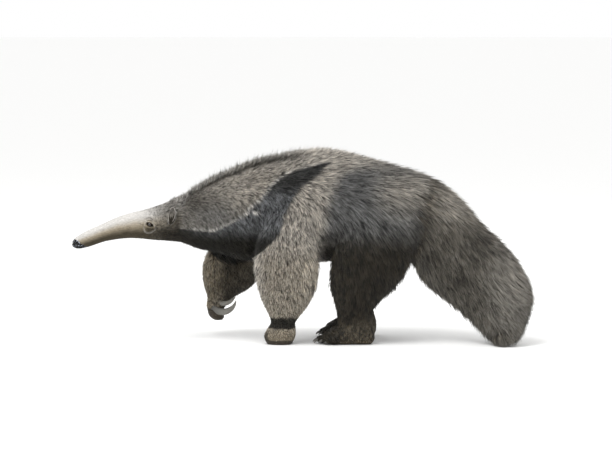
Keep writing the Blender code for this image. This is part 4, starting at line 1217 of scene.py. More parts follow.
def paint_eyes_and_ears(shares, at):
    """Eyes: painted shade in the sockets and in the creases above and below, a pale rim below. Ears: cups
    darkened inside by painted shade, with pale rims.
    """
    along, up = eye_shape(at.x, at.z)
    ring = oval(along, up, RING_SIZE, RING_DROP)
    slit = oval(along, up, SLIT_SIZE)
    face = at.head * (at.aside > 0.020)
    over(shares, "tan", 0.55 * face * bump(up, 0.0115, 0.0035) * bump(along, 0.0, 0.013))
    # Painted shade in the crease over the upper lid and in the groove under the eye.
    over(shares, "brown", 0.75 * face * bump(up, 0.0175, 0.0022) * bump(along, -0.002, 0.013))
    over(shares, "brown", 0.85 * face * bump(up, -0.0150, 0.0060) * bump(along, 0.0, 0.010))
    over(shares, "snout", 0.28 * face * bump(ring, 1.02, 0.12))
    # Painted shade in the socket round the eyeball.
    over(shares, "brown", 0.97 * face * (1 - ramp(slit, 1.05, 1.50)))
    local = ear_place(at.points)
    radius, depth = np.linalg.norm(local, axis=1), local[:, 0]
    ear = (radius < 1.4) & (at.aside > 0.047)
    over(shares, "snout", 0.6 * ear)
    # Painted shade inside the ear's cup.
    over(shares, "brown", 0.97 * ear * (radius < 1.0) * ramp(depth, 0.0, 0.12))
    over(shares, "pale", 0.55 * ear * (1 - ramp(depth, -0.02, 0.12)))


# %% Markings of the whole animal
PAINTERS = (paint_back, paint_flank, paint_band, paint_arms, paint_hind, paint_head, paint_eyes_and_ears)


def markings(points):
    """Shares of each hair colour at these points: grizzled grey, with each part painted over it."""
    shares = {name: np.zeros(len(points)) for name, _ in HAIR_COLOURS}
    shares["grizzled"] += 1.0
    at = places_of(points)
    for paint in PAINTERS:
        paint(shares, at)
    return shares


def write_shares(mesh, shares, points_of):
    """Stores the eight shares on a mesh's points as two colour attributes."""
    names = [name for name, _ in HAIR_COLOURS]
    for half, attribute in enumerate(("markings_a", "markings_b")):
        data = np.stack([shares[name][points_of] for name in names[4 * half : 4 * half + 4]], 1)
        layer = mesh.attributes.new(attribute, "FLOAT_COLOR", "POINT")
        layer.data.foreach_set("color", data.astype(np.float32).ravel())


skin_shares = markings(SKIN_POINTS)
write_shares(skin_mesh, skin_shares, np.arange(len(SKIN_POINTS)))
print("skin colours:", {name: round(float(share.mean()), 2) for name, share in skin_shares.items()})

# %% [markdown]
# ## The lie of the coat
#
# Hair on an animal lies like combed grass. From the nose it runs back over the head and neck, it
# leaves the crest to both sides, flows down and back over the flanks and down the legs, and along the
# tail. Each part gives a plain direction, the parts are blended where they meet, and the result is
# laid flat onto the skin.


# %% Lie of the hair
def lie_of(points, normals):
    """Unit directions along the skin in which the hair at these points lies."""
    x, y, z = points.T
    zones = zones_of(points)
    side = np.sign(y)
    flat = np.zeros_like(x)
    low = ramp(0.53 - z, 0.0, 0.20)
    trunk = np.stack([1.0 + flat, 0.25 * side * (1 - low), -0.05 - 1.1 * low], 1)
    neck = np.stack([0.8 + flat, 0.15 * side, -0.75 + 0.65 * ramp(z, 0.36, 0.47)], 1)
    head = np.stack([1.0 + flat, flat, 0.22 + flat], 1)
    arm = np.stack([0.12 + flat, flat, -1.0 + flat], 1)
    leg = np.stack([0.30 * ramp(z, 0.10, 0.30), flat, -1.0 + flat], 1)
    at = np.zeros_like(x)
    mine = zones == ZONE["tail"]
    at[mine] = tail_place(points[mine])[0]
    step = TAIL_MIDDLES[1:] - TAIL_MIDDLES[:-1]
    tail = step[np.clip((at * len(step)).astype(int), 0, len(step) - 1)]
    tail = tail / np.linalg.norm(tail, axis=1, keepdims=True)
    tail = tail + np.stack([flat, flat, -0.30 - 0.95 * ramp(at, 0.08, 0.40)], 1)

    near_head = ramp(-x, 0.31, 0.39)[:, None]
    near_neck = ramp(-x, 0.05, 0.24)[:, None]
    lie = trunk * (1 - near_neck) + neck * near_neck
    lie = lie * (1 - near_head) + head * near_head
    aside = ramp(np.abs(y), 0.045, 0.075)
    arms = aside * bump(x, -0.03, 0.11) * (1 - ramp(z, 0.36, 0.50))
    on_arm = np.isin(zones, (ZONE["arm_near"], ZONE["arm_far"]))
    arms = np.where(on_arm, np.maximum(arms, 1 - ramp(z, 0.30, 0.42)), arms)
    legs = ramp(x, 0.08, 0.15) * (1 - ramp(z, 0.25, 0.46)) * (zones != ZONE["tail"])
    on_leg = np.isin(zones, (ZONE["leg_near"], ZONE["leg_far"]))
    legs = np.where(on_leg, np.maximum(legs, 0.3), legs)
    lie = lie * (1 - arms[:, None]) + arm * arms[:, None]
    lie = lie * (1 - legs[:, None]) + leg * legs[:, None]
    rump = ramp((points - TAIL_CUT[0]) @ TAIL_CUT[1], -0.06, 0.03)[:, None]
    rump = rump * (1 - ramp(0.25 - z, 0.0, 0.05))[:, None] * (x > 0.25)[:, None]
    lie = lie * (1 - rump) + tail * rump
    lie -= normals * (lie * normals).sum(axis=1, keepdims=True)
    return lie / (np.linalg.norm(lie, axis=1, keepdims=True) + 1e-9)


def on_skin(points):
    """The nearest places on the skin, with the normals there."""
    found, normals = np.empty_like(points), np.empty_like(points)
    for i, point in enumerate(points.tolist()):
        place, normal = SKIN_TREE.find_nearest(point)[:2]
        found[i] = place
        normals[i] = normal
    return found, normals


# %% [markdown]
# ## Tufts
#
# Real guard hairs stick together in tufts a few millimetres wide. Each tuft here is a thin closed
# spike with three sides, rooted in the skin and drawn out to a point. Short fur needs one stretched
# pyramid of four triangles, longer hair gets rings in between so that it can bend. All tufts of a
# piece are worked out together as arrays, since a loop over each would take minutes.

# %% Roots of the tufts
DRAW = np.random.default_rng(7)
# How deep the roots sit in the skin, and the lowest place of any hair over the floor.
ROOT_SINK = 0.0012
LOWEST_HAIR = 0.0015
# A tuft's patch of the map, and the corners of its section in shares of its width.
PATCH_SIZE = 0.003
CORNERS = np.array(((-0.5, 0.0), (0.5, 0.0), (0.0, 0.6)))


def scattered(where, count):
    """Seeded places on the skin, evenly over the faces weighted by a density at their middles."""
    corners = SKIN_POINTS[SKIN_FACES]
    middles = corners.mean(axis=1)
    first, second = corners[:, 1] - corners[:, 0], corners[:, 2] - corners[:, 0]
    areas = np.linalg.norm(np.cross(first, second), axis=1)
    chances = areas * where(middles)
    faces = DRAW.choice(len(SKIN_FACES), size=count, p=chances / chances.sum())
    a, b = DRAW.random((2, count))
    flip = a + b > 1
    a, b = np.where(flip, 1 - a, a), np.where(flip, 1 - b, b)
    weights = np.stack([1 - a - b, a, b], 1)[..., None]
    roots = (corners[faces] * weights).sum(axis=1)
    normals = (SKIN_NORMALS[SKIN_FACES[faces]] * weights).sum(axis=1)
    return roots, normals / np.linalg.norm(normals, axis=1, keepdims=True)


# %% Tufts as a mesh
# A tuft takes its colour from a place a little nearer to its tip than to its root.
ROOT_SHARE = 0.45
TIP_SHARE = 0.55


def tuft_points(lines, outs, widths):
    """Points of the tufts: a ring of three at each knot, square to the line, and one at the tip."""
    along = np.gradient(lines, axis=1)
    along /= np.linalg.norm(along, axis=2, keepdims=True) + 1e-12
    across = np.cross(along, outs)
    across /= np.linalg.norm(across, axis=2, keepdims=True) + 1e-12
    rise = np.cross(across, along)
    section = CORNERS[None, None, :, :1] * across[:, :-1, None, :]
    section = section + CORNERS[None, None, :, 1:] * rise[:, :-1, None, :]
    rings = lines[:, :-1, None, :] + widths[:, :, None, None] * section
    return np.concatenate([rings.reshape(len(lines), -1, 3), lines[:, -1:, :]], axis=1)


def tuft_faces(count, knots):
    """Triangles of all tufts: a cap at the root, bands between the rings and a point at the tip."""
    faces = [(0, 2, 1)]
    for ring in range(knots - 2):
        for k in range(3):
            a, b = 3 * ring + k, 3 * ring + (k + 1) % 3
            faces += [(a, b, b + 3), (a, b + 3, a + 3)]
    last = 3 * (knots - 2)
    faces += [(last + k, last + (k + 1) % 3, last + 3) for k in range(3)]
    starts = (last + 4) * np.arange(count)[:, None, None]
    return (np.array(faces)[None] + starts).reshape(-1, 3)


def tuft_object(name, lines, outs, widths, roots, tones, pale_tips):
    """One mesh of all the tufts: lines holds each one's points from root to tip."""
    count, knots = lines.shape[:2]
    per_tuft = 3 * (knots - 1) + 1
    faces = tuft_faces(count, knots)
    points = tuft_points(lines, outs, widths).reshape(-1, 3) + np.array(INTO_FRAME)
    mesh = bpy.data.meshes.new(name)
    mesh.vertices.add(len(points))
    mesh.vertices.foreach_set("co", points.astype(np.float32).ravel())
    mesh.loops.add(faces.size)
    mesh.loops.foreach_set("vertex_index", faces.astype(np.int32).ravel())
    mesh.polygons.add(len(faces))
    mesh.polygons.foreach_set("loop_start", np.arange(0, faces.size, 3, dtype=np.int32))
    mesh.update(calc_edges=True)
    mesh.shade_smooth()

    share = np.concatenate([np.repeat(np.arange(knots - 1) / (knots - 1), 3), [1.0]])
    across_share = np.concatenate([np.tile((0.0, 1.0, 0.5), knots - 1), [0.5]])
    map_along, turn, bottom, height = unwrapped(roots, zones_of(roots))
    root_uv = on_map(map_along, turn, bottom, height)
    patch = np.stack([across_share - 0.5, share - 0.5], 1) * PATCH_SIZE
    uv = (root_uv[:, None, :] + patch[None]).reshape(-1, 2)[faces.ravel()]
    layer = mesh.uv_layers.new(name="OFBake")
    layer.uv.foreach_set("vector", uv.astype(np.float32).ravel())

    shares = markings(ROOT_SHARE * lines[:, 0] + TIP_SHARE * lines[:, -1])
    write_shares(mesh, shares, np.repeat(np.arange(count), per_tuft))
    light_hair = shares["grizzled"] + shares["pale"] + shares["tan"] + shares["snout"]
    strand = np.ones((count, per_tuft, 4))
    strand[..., 0] = share[None]
    strand[..., 1] = tones[:, None]
    # How pale each tip is: partly bleached hair, partly a painted highlight on the strands.
    strand[..., 2] = (tones**1.5 * np.clip(pale_tips + 0.85 * light_hair, 0, 1))[:, None]
    attribute = mesh.attributes.new("strand", "FLOAT_COLOR", "POINT")
    attribute.data.foreach_set("color", strand.astype(np.float32).ravel())
    made = bpy.data.objects.new(name, mesh)
    bpy.context.scene.collection.objects.link(made)
    print(name, count, "tufts,", len(faces), "triangles")
    return made


# %% A piece of coat
# How much a tuft keeps its direction from knot to knot, and how much it turns with the skin.
KEPT = 0.4
TURNED = 0.6
RISE_POWER = 0.8
# Smallest and largest share of the usual length, lift, lean and width that a tuft may have.
GUIDE_LENGTHS = (0.85, 1.20)
GUIDE_LIFTS = (0.45, 1.30)
TUFT_LENGTHS = (0.75, 1.15)
TUFT_LIFTS = (0.40, 1.15)
TUFT_LEANS = (0.40, 1.00)
TUFT_WIDTHS = (0.70, 1.30)
# A tuft strays less than its guide. One in seven stands twice as high as the others, which breaks
# the coat's smooth outside.
TUFT_STRAY = 0.4
HIGH_SHARE = 0.14
HIGH_LIFT = 2.0


def followed(roots, normals, knots, size, raised, stray):
    """Lines that start just under the skin, follow it along the lie and rise towards their tips."""
    lie = lie_of(roots, normals)
    side = np.cross(normals, lie)
    lie = lie + side * DRAW.normal(0, stray, len(roots))[:, None]
    lie /= np.linalg.norm(lie, axis=1, keepdims=True)
    lines = np.empty((len(roots), knots, 3))
    outs = np.empty((len(roots), knots, 3))
    lines[:, 0] = roots - normals * ROOT_SINK
    outs[:, 0] = normals
    place = roots
    for knot in range(1, knots):
        share = knot / (knots - 1)
        place, turned = on_skin(place + lie * (size / (knots - 1))[:, None])
        outs[:, knot] = outs[:, knot - 1] * KEPT + turned * TURNED
        outs[:, knot] /= np.linalg.norm(outs[:, knot], axis=1, keepdims=True)
        lie = lie - outs[:, knot] * (lie * outs[:, knot]).sum(axis=1, keepdims=True)
        lie /= np.linalg.norm(lie, axis=1, keepdims=True)
        lines[:, knot] = place + outs[:, knot] * (raised * share**RISE_POWER)[:, None]
    return lines, outs


def nearest_of(points, others):
    """The index of the nearest other point for each point."""
    tree = KDTree(len(others))
    for i, other in enumerate(others.tolist()):
        tree.insert(other, i)
    tree.balance()
    return np.array([tree.find(point)[1] for point in points.tolist()])


def coat_piece(
    name,
    where,
    count,
    knots,
    length,
    lift,
    width,
    clump,
    pull=0.45,
    stray=0.30,
    pale_tips=0.05,
    shared=0.55,
):
    """A piece of coat: tufts that follow the skin and lean together in clumps, as damp hair does.

    Each clump has a guide, and clump is how many tufts it gathers. pull is how far their tips lean to
    it, stray how much directions vary, pale_tips how pale the tips are, partly bleached and partly a
    painted highlight, and shared how much of a tuft's lightness comes from its guide.
    """
    roots, normals = scattered(where, count)
    guide_roots, guide_normals = scattered(where, count // clump)
    guide_size = length(guide_roots) * DRAW.uniform(*GUIDE_LENGTHS, len(guide_roots))
    guide_lift = lift(guide_roots) * DRAW.uniform(*GUIDE_LIFTS, len(guide_roots))
    guides, _ = followed(guide_roots, guide_normals, knots, guide_size, guide_lift, stray)
    guide_tone = DRAW.random(len(guide_roots))
    mine = nearest_of(roots, guide_roots)
    size = length(roots) * DRAW.uniform(*TUFT_LENGTHS, count)
    raised = lift(roots) * DRAW.uniform(*TUFT_LIFTS, count)
    raised = raised * np.where(DRAW.random(count) < HIGH_SHARE, HIGH_LIFT, 1.0)
    lines, outs = followed(roots, normals, knots, size, raised, TUFT_STRAY * stray)
    lean = pull * (np.arange(knots) / (knots - 1)) ** 1.2
    lean = lean[None, :, None]
    lines += (guides[mine] - lines) * lean * DRAW.uniform(*TUFT_LEANS, count)[:, None, None]
    lines[..., 2] = np.maximum(lines[..., 2], LOWEST_HAIR)
    shares = np.arange(knots - 1) / (knots - 1)
    swell = np.interp(shares, (0.0, 0.35, 1.0), (0.65, 1.0, 0.35)) if knots > 2 else np.ones(1)
    widths = width(roots)[:, None] * swell[None] * DRAW.uniform(*TUFT_WIDTHS, count)[:, None]
    tones = shared * guide_tone[mine] + (1 - shared) * DRAW.random(count)
    return tuft_object(name, lines, outs, widths, roots, tones, pale_tips)


# %% [markdown]
# ## Hair colours as materials
#
# Guard hair is keratin: smooth and a little glossy. Painted shade darkens each tuft towards its root,
# and its tip is paler, partly bleached and partly a painted highlight. One material serves all the coat.
# It mixes the eight hair colours by the shares stored on the mesh, then varies them from tuft to tuft,
# as light and dark hairs stand side by side in a grizzled coat.

# %% Hair material
KERATIN_IOR = 1.55
# The size of clumps that differ in lightness, in metres.
CLUMP_SIZE = 0.030
# Most values of a noise lie between these two, so they are spread out before they are used.
NOISE_SPAN = {"From Min": 0.3, "From Max": 0.7}


def mixed_markings(tree):
    """Nodes that mix the hair colours by their stored shares. Returns the colour output."""
    total = None
    for half, attribute in enumerate(("markings_a", "markings_b")):
        stored = add_node(tree, "Attribute", {"attribute_name": attribute})
        split = add_node(tree, "SeparateColor", links={"Color": stored.outputs["Color"]})
        outputs = [split.outputs[0], split.outputs[1], split.outputs[2], stored.outputs["Alpha"]]
        for share, (name, tone) in zip(outputs, HAIR_COLOURS[4 * half : 4 * half + 4]):
            part = add_node(
                tree,
                "VectorMath",
                {"operation": "SCALE", 0: linear(tone)[:3], "label": name},
                {"Scale": share},
            )
            if total is None:
                total = part.outputs[0]
                continue
            joined = add_node(tree, "VectorMath", {"operation": "ADD"}, {0: total, 1: part.outputs[0]})
            total = joined.outputs[0]
    return total


def guard_hair():
    """Straight, stiff guard hair of keratin, grizzled from tuft to tuft, darkened towards the root by painted
    shade, with tips paled partly by bleaching and partly by a painted highlight.
    """
    sockets = {"IOR": KERATIN_IOR, "Specular IOR Level": 0.35}
    made, tree, shader = new_material("guard_hair_keratin", 0.52, sockets)
    colour = mixed_markings(tree)
    strand = add_node(tree, "Attribute", {"attribute_name": "strand"})
    split = add_node(tree, "SeparateColor", links={"Color": strand.outputs["Color"]})
    share, tone, bleach_and_highlight = split.outputs[0], split.outputs[1], split.outputs[2]
    # Painted shade: each tuft is darker towards its root, where its neighbours shade it.
    painted_root_shade = add_node(tree, "MapRange", {"To Min": 0.45, "To Max": 1.10}, {"Value": share})
    between = add_node(
        tree,
        "MapRange",
        {"From Min": 0.24, "From Max": 0.76, "To Min": 0.15, "To Max": 1.95},
        {"Value": tone},
    )
    light = add_node(
        tree,
        "Math",
        {"operation": "MULTIPLY"},
        {0: painted_root_shade.outputs[0], 1: between.outputs[0]},
    )
    where = add_node(tree, "TexCoord")
    clumps = add_node(
        tree,
        "TexNoise",
        {"Scale": 1 / CLUMP_SIZE, "Detail": 3.0},
        {"Vector": where.outputs["Object"]},
    )
    patchy = add_node(
        tree,
        "MapRange",
        NOISE_SPAN | {"To Min": 0.84, "To Max": 1.16},
        {"Value": clumps.outputs[0]},
    )
    light = add_node(tree, "Math", {"operation": "MULTIPLY"}, {0: light.outputs[0], 1: patchy.outputs[0]})
    shaded = add_node(tree, "VectorMath", {"operation": "SCALE"}, {0: colour, "Scale": light.outputs[0]})
    # Tips paled towards near-white: partly bleaching, partly a painted highlight.
    towards_tip = add_node(tree, "MapRange", {"From Min": 0.45, "From Max": 0.95}, {"Value": share})
    tip_paling = add_node(tree, "Math", {"operation": "MULTIPLY"}, {0: towards_tip.outputs[0], 1: bleach_and_highlight})
    tipped = add_node(
        tree,
        "Mix",
        {"data_type": "RGBA", 7: linear("dad7d0")},
        {"Factor": tip_paling.outputs[0], 6: shaded.outputs[0]},
    )
    tree.links.new(tipped.outputs[2], shader.inputs["Base Color"])
    return made


# %% [markdown]
# ## Underfur, nose and soles
#
# On the snout the coat is short and dense, like velvet, so it is dull and shows as a fine grain that
# is drawn out along the hairs. The nose is bare leather kept wet, so its small pads glint, and pale
# bluish spots on it are a painted sheen. The soles are dry horny leather, browner and dull, with paler
# worn spots. Painted shade darkens the fine creases between the pads of both. Noise and cell patterns
# of the real sizes give each grain, since cutting them into the mesh would take millions of faces.

# %% Underfur material
# Width of a grain of short fur, and how far back from the nose painted shade darkens the skin under longer
# hair.
FUR_GRAIN = 0.0022
COAT_SHADE_FROM = -0.46
COAT_SHADE_TO = -0.38


def under_fur():
    """Skin with short dense underfur: the same markings, darkened by painted shade under the longer coat,
    with a bump as coarse as the fur.
    """
    made, tree, shader = new_material("short_under_fur", 0.8, {"Specular IOR Level": 0.2})
    colour = mixed_markings(tree)
    where = add_node(tree, "TexCoord")
    lying = add_node(tree, "Mapping", {"Scale": (0.22, 1.0, 1.0)}, {"Vector": where.outputs["Object"]})
    grain = add_node(
        tree,
        "TexNoise",
        {"Scale": 1 / FUR_GRAIN, "Detail": 3.0},
        {"Vector": lying.outputs[0]},
    )
    spots = add_node(
        tree,
        "MapRange",
        NOISE_SPAN | {"To Min": 0.75, "To Max": 1.2},
        {"Value": grain.outputs[0]},
    )
    place = add_node(tree, "SeparateXYZ", links={"Vector": where.outputs["Object"]})
    # Painted shade: the skin darkens under the longer coat, back from the nose.
    coat_shade = add_node(
        tree,
        "MapRange",
        {"From Min": COAT_SHADE_FROM, "From Max": COAT_SHADE_TO, "To Min": 1.0, "To Max": 0.45},
        {"Value": place.outputs[0]},
    )
    light = add_node(tree, "Math", {"operation": "MULTIPLY"}, {0: spots.outputs[0], 1: coat_shade.outputs[0]})
    shaded = add_node(tree, "VectorMath", {"operation": "SCALE"}, {0: colour, "Scale": light.outputs[0]})
    tree.links.new(shaded.outputs[0], shader.inputs["Base Color"])
    bumps = add_node(tree, "Bump", {"Strength": 0.35, "Distance": 0.0006}, {"Height": grain.outputs[0]})
    tree.links.new(bumps.outputs[0], shader.inputs["Normal"])
    return made


# %% Bare leather of nose and soles
def bare_leather(name, colour, wear_and_sheen_colour, roughness, grain, depth):
    """Bare skin split by fine creases into pads as wide as the grain, with painted shade in the creases and
    paler spots, worn on the soles and a painted sheen on the nose.
    """
    made, tree, shader = new_material(name, roughness, {"Specular IOR Level": 0.22})
    where = add_node(tree, "TexCoord").outputs["Object"]
    pads = add_node(
        tree,
        "TexVoronoi",
        {"Scale": 1 / grain, "feature": "DISTANCE_TO_EDGE"},
        {"Vector": where},
    )
    rounded = add_node(tree, "MapRange", {"From Max": 0.35}, {"Value": pads.outputs["Distance"]})
    mottle = add_node(tree, "TexNoise", {"Scale": 1 / (5 * grain), "Detail": 3.0}, {"Vector": where})
    uneven = add_node(
        tree,
        "MapRange",
        NOISE_SPAN | {"To Min": 0.7, "To Max": 1.4},
        {"Value": mottle.outputs[0]},
    )
    # Painted shade: the pads darken towards the creases between them.
    light = add_node(tree, "Math", {"operation": "MULTIPLY_ADD", 1: 0.35, 2: 0.65}, {0: rounded.outputs[0]})
    light = add_node(tree, "Math", {"operation": "MULTIPLY"}, {0: light.outputs[0], 1: uneven.outputs[0]})
    tint = add_node(
        tree,
        "VectorMath",
        {"operation": "SCALE", 0: linear(colour)[:3]},
        {"Scale": light.outputs[0]},
    )
    # Paler spots: real wear on the soles, a painted bluish sheen on the nose.
    wear_and_sheen_spots = add_node(tree, "TexNoise", {"Scale": 1 / (3 * grain), "Detail": 2.0}, {"Vector": where})
    wear_and_sheen_share = add_node(tree, "MapRange", {"From Min": 0.58, "From Max": 0.66}, {"Value": wear_and_sheen_spots.outputs[0]})
    tint = add_node(
        tree,
        "Mix",
        {"data_type": "RGBA", 7: linear(wear_and_sheen_colour)},
        {"Factor": wear_and_sheen_share.outputs[0], 6: tint.outputs[0]},
    )
    tree.links.new(tint.outputs[2], shader.inputs["Base Color"])
    bumps = add_node(tree, "Bump", {"Strength": 0.6, "Distance": depth}, {"Height": rounded.outputs[0]})
    tree.links.new(bumps.outputs[0], shader.inputs["Normal"])
    return made


HAIR = guard_hair()
UNDER_FUR = under_fur()
# Name, colour, colour of the paler spots (worn on the soles, a painted sheen on the nose), roughness, width
# of a pad and depth of a crease in metres.
NOSE_LEATHER = bare_leather("nose_leather", "030304", "a9b0bd", 0.24, 0.0016, 0.0008)
SOLE_LEATHER = bare_leather("sole_leather", "39322a", "4c453a", 0.6, 0.0026, 0.0005)
print("materials:", *(made.name for made in (HAIR, UNDER_FUR, NOSE_LEATHER, SOLE_LEATHER)))

# %% [markdown]
# ## The skin into the scene
#
# The skin takes three finishes: underfur nearly everywhere, wet leather on the nose and dry leather
# on the soles. Each face gets the finish of the place where its middle lies, with a ruffled border,
# since fur on a real nose doesn't end along a ruled line. One mesh then stands for all the flesh.

# %% Skin into the scene
# The bare nose ends along a line on the side view: its x at the lip's height, that height, its slope.
NOSE_EDGE = (-0.638, 0.280, -1.44)
NOSE_BACK = -0.60
# The fists are bare up to these heights, near and far, and the hind feet up to the sole's height.
FIST_SPAN = (-0.35, 0.0)
FIST_BARE = (0.012, 0.080)
SOLE_BARE = 0.004

middles = SKIN_POINTS[SKIN_FACES].mean(axis=1)
x, y, z = middles.T
nose = x < NOSE_EDGE[0] + NOSE_EDGE[2] * (z - NOSE_EDGE[1]) + 0.004 * ruffled(middles, 0.010)
fist = (x > FIST_SPAN[0]) & (x < FIST_SPAN[1]) & (z < np.where(y < 0, *FIST_BARE))
sole = fist | (z < SOLE_BARE)
bare = np.select([nose & (x < NOSE_BACK), sole], [1, 2], 0)
skin_mesh.transform(Matrix.Translation(INTO_FRAME))
skin_mesh.materials.clear()
for material in (UNDER_FUR, NOSE_LEATHER, SOLE_LEATHER):
    skin_mesh.materials.append(material)
skin_mesh.polygons.foreach_set("material_index", bare.astype(np.int32))
skin_mesh.shade_smooth()
skin = bpy.data.objects.new("skin", skin_mesh)
bpy.context.scene.collection.objects.link(skin)
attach(skin, "root")
FLESH = ["head", "neck", "torso", "tail", "ear_left", "ear_right"]
for limb in ("leg_front", "leg_hind", "foot_front", "foot_hind"):
    FLESH += [f"{limb}_left", f"{limb}_right"]
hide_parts(*FLESH)
print("skin: faces of fur, nose and sole", np.bincount(bare))

# %% [markdown]
# ## Coat
#
# Hair is short on the face and the feet, longer from the shoulders to the rump, and coarser there as
# well. A few measures read off along the body say how long, how high and how wide the tufts are, so
# one maker serves all the pieces. The coat comes in pieces because each part of the body has its own
# mix of clumping, straying and pale tips, which are partly bleached and partly a painted highlight.


# %% Measures of the coat
def zone_mask(names):
    """A density that is one in these zones and zero elsewhere."""
    wanted = [ZONE[name] for name in names]
    return lambda points: np.isin(zones_of(points), wanted).astype(float)


def finish_piece(obj, material=HAIR):
    """Gives a piece its material and the body that it rides on."""
    if not obj.data.materials:
        obj.data.materials.append(material)
    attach(obj, "root")


def furry(points):
    """One on furry parts and zero on the snout, the soles, the fists' undersides and the ears."""
    x, y, z = points.T
    coated = np.where(zones_of(points) == ZONE["head"], ramp(x, -0.58, -0.36) ** 2, 1.0)
    low = np.interp(x, (-0.30, -0.20, -0.12, 0.0, 0.03, 0.25), (0.095, 0.095, 0.020, 0.020, 0.012, 0.012))
    ear = np.hypot(x - EAR_PLACE.x + 0.004, (z - EAR_PLACE.z) / 1.8) < 0.019
    return coated * ramp(z, low - 0.01, low + 0.02) * ~(ear & (np.abs(y) > 0.040))


def hair_length(points):
    """Hair gets longer from the brow to the rump, and shorter again towards the feet."""
    x, y, z = points.T
    trunk = np.interp(
        x,
        (-0.50, -0.42, -0.36, -0.22, -0.05, 0.10, 0.25, 0.35, 0.60),
        (0.005, 0.009, 0.014, 0.017, 0.020, 0.034, 0.046, 0.055, 0.066),
    )
    trunk = trunk - 0.005 * bump(x, 0.0, 0.06) * ramp(np.abs(y), 0.04, 0.08)
    on_leg = np.interp(z, (0.02, 0.08, 0.13, 0.24), (0.18, 0.40, 0.80, 1.1))
    return trunk * np.where(zones_of(points) == ZONE["tail"], 1.0, on_leg)


def hair_lift(points):
    """How high the tips stand off the skin: to the outside that the solids have."""
    x, _, z = points.T
    trunk = np.interp(
        x,
        (-0.50, -0.42, -0.36, -0.22, 0.00, 0.25, 0.35, 0.45),
        (0.0008, 0.0015, 0.0050, 0.0085, 0.0105, 0.0125, 0.0140, 0.0180),
    )
    on_leg = np.interp(z, (0.02, 0.08, 0.13, 0.24), (0.12, 0.25, 0.60, 1.0))
    return trunk * np.where(zones_of(points) == ZONE["tail"], 1.0, on_leg)


def hair_width(points):
    """Tufts are finest on the face, coarsest on the rump."""
    return np.interp(
        points[:, 0],
        (-0.50, -0.36, -0.20, 0.00, 0.10, 0.30),
        (0.0009, 0.0018, 0.0024, 0.0026, 0.0032, 0.0040),
    )


# %% Coat pieces
# Name, zones, x from, x to, tufts, stray, clump, pale tips, shared lightness, slot.
COAT_PIECES = (
    ("coat_neck", ("neck", "head"), -1.0, 1.0, 45000, 0.25, 5, 0.05, 0.40, "grizzled_coat"),
    ("coat_shoulders", ("torso",), -1.0, 0.06, 45000, 0.40, 6, 0.05, 0.45, "grizzled_coat"),
    ("coat_flanks", ("torso",), 0.06, 1.0, 44000, 0.20, 7, 0.20, 0.45, "grizzled_coat"),
    ("coat_arms", ("arm_near", "arm_far"), -1.0, 1.0, 45000, 0.40, 6, 0.05, 0.35, "pale_coat"),
    ("coat_legs", ("leg_near", "leg_far"), -1.0, 1.0, 40000, 0.25, 9, 0.14, 0.60, "black_coat"),
)


def coat_roots(zones, x_low, x_high):
    """A density of roots: the furry part of these zones between two places along the body."""
    mask = zone_mask(zones)

    def where(points):
        x = points[:, 0]
        return mask(points) * furry(points) * (x >= x_low) * (x < x_high)

    return where


for name, zones, x_low, x_high, count, stray, clump, pale_tips, shared, slot in COAT_PIECES:
    piece = coat_piece(
        name,
        coat_roots(zones, x_low, x_high),
        count=count,
        knots=2,
        length=hair_length,
        lift=hair_lift,
        width=hair_width,
        clump=clump,
        stray=stray,
        pale_tips=pale_tips,
        shared=shared,
    )
    finish_piece(piece)

# %% [markdown]
# ## Crest and fringes
#
# A mane of stiff hair stands up along the back, and longer hair hangs under the belly and from the
# back edges of the limbs. Both grow from narrow strips, so each has its own strip as the place of its
# roots. The crest stands high over short hair, and the fringe gets one more knot, so that it bends.


# %% Crest and fringes
def along_body(places, values):
    """A measure that is read off along the body by x."""
    return lambda points: np.interp(points[:, 0], places, values)


def everywhere(value):
    """A measure that is the same at every point."""
    return lambda points: np.full(len(points), value)


def behind_limb(points, stations, gap):
    """Which points lie further back than a limb's middle line by more than the gap."""
    rows = np.array(sorted(stations))
    return points[:, 0] > np.interp(points[:, 2], rows[:, 0], rows[:, 1]) + gap


def crest(points):
    """Roots along the middle of the back, from behind the ears to the loins."""
    x, y, z = points.T
    return (np.abs(y) < 0.026) * ramp(x, -0.40, -0.34) * (1 - ramp(x, 0.15, 0.30)) * (z > 0.40)


def fringe(points):
    """Roots under the chest and belly, down the back of the arms, and down both edges of the legs."""
    x, _, z = points.T
    belly = zone_mask(("torso",))(points) * (z < 0.275) * (x < 0.30)
    arm = zone_mask(("arm_near", "arm_far"))(points) * (z > 0.18) * (z < 0.27)
    arm = arm * behind_limb(points, NEAR_ARM, 0.045)
    leg = zone_mask(("leg_near", "leg_far"))(points) * (z > 0.19) * (z < 0.34)
    leg = leg * (behind_limb(points, HIND_LEG, 0.065) | ~behind_limb(points, HIND_LEG, -0.070))
    return belly + arm + leg


piece = coat_piece(
    "coat_crest",
    crest,
    count=9000,
    knots=2,
    length=along_body((-0.38, -0.25, 0.10), (0.010, 0.016, 0.024)),
    lift=along_body((-0.38, -0.25, 0.05, 0.25), (0.012, 0.022, 0.020, 0.012)),
    width=everywhere(0.0021),
    clump=5,
    pull=0.8,
    stray=0.6,
    # Very pale tips on the crest: partly bleached, partly a painted highlight along the back's outline.
    pale_tips=0.9,
)
finish_piece(piece)
piece = coat_piece(
    "coat_fringe",
    fringe,
    count=7000,
    knots=3,
    length=everywhere(0.042),
    lift=everywhere(0.014),
    width=everywhere(0.0030),
    clump=14,
    pull=0.8,
)
finish_piece(piece)

# %% [markdown]
# ## Tail brush
#
# The tail is a huge brush of coarse hair that hangs from a thin core. The core's form already fills
# the brush, so tufts over it give the outside. They pull together hard into broad locks, as long hair
# does under its own weight. Three stretches keep each mesh to a size that is easy to handle.

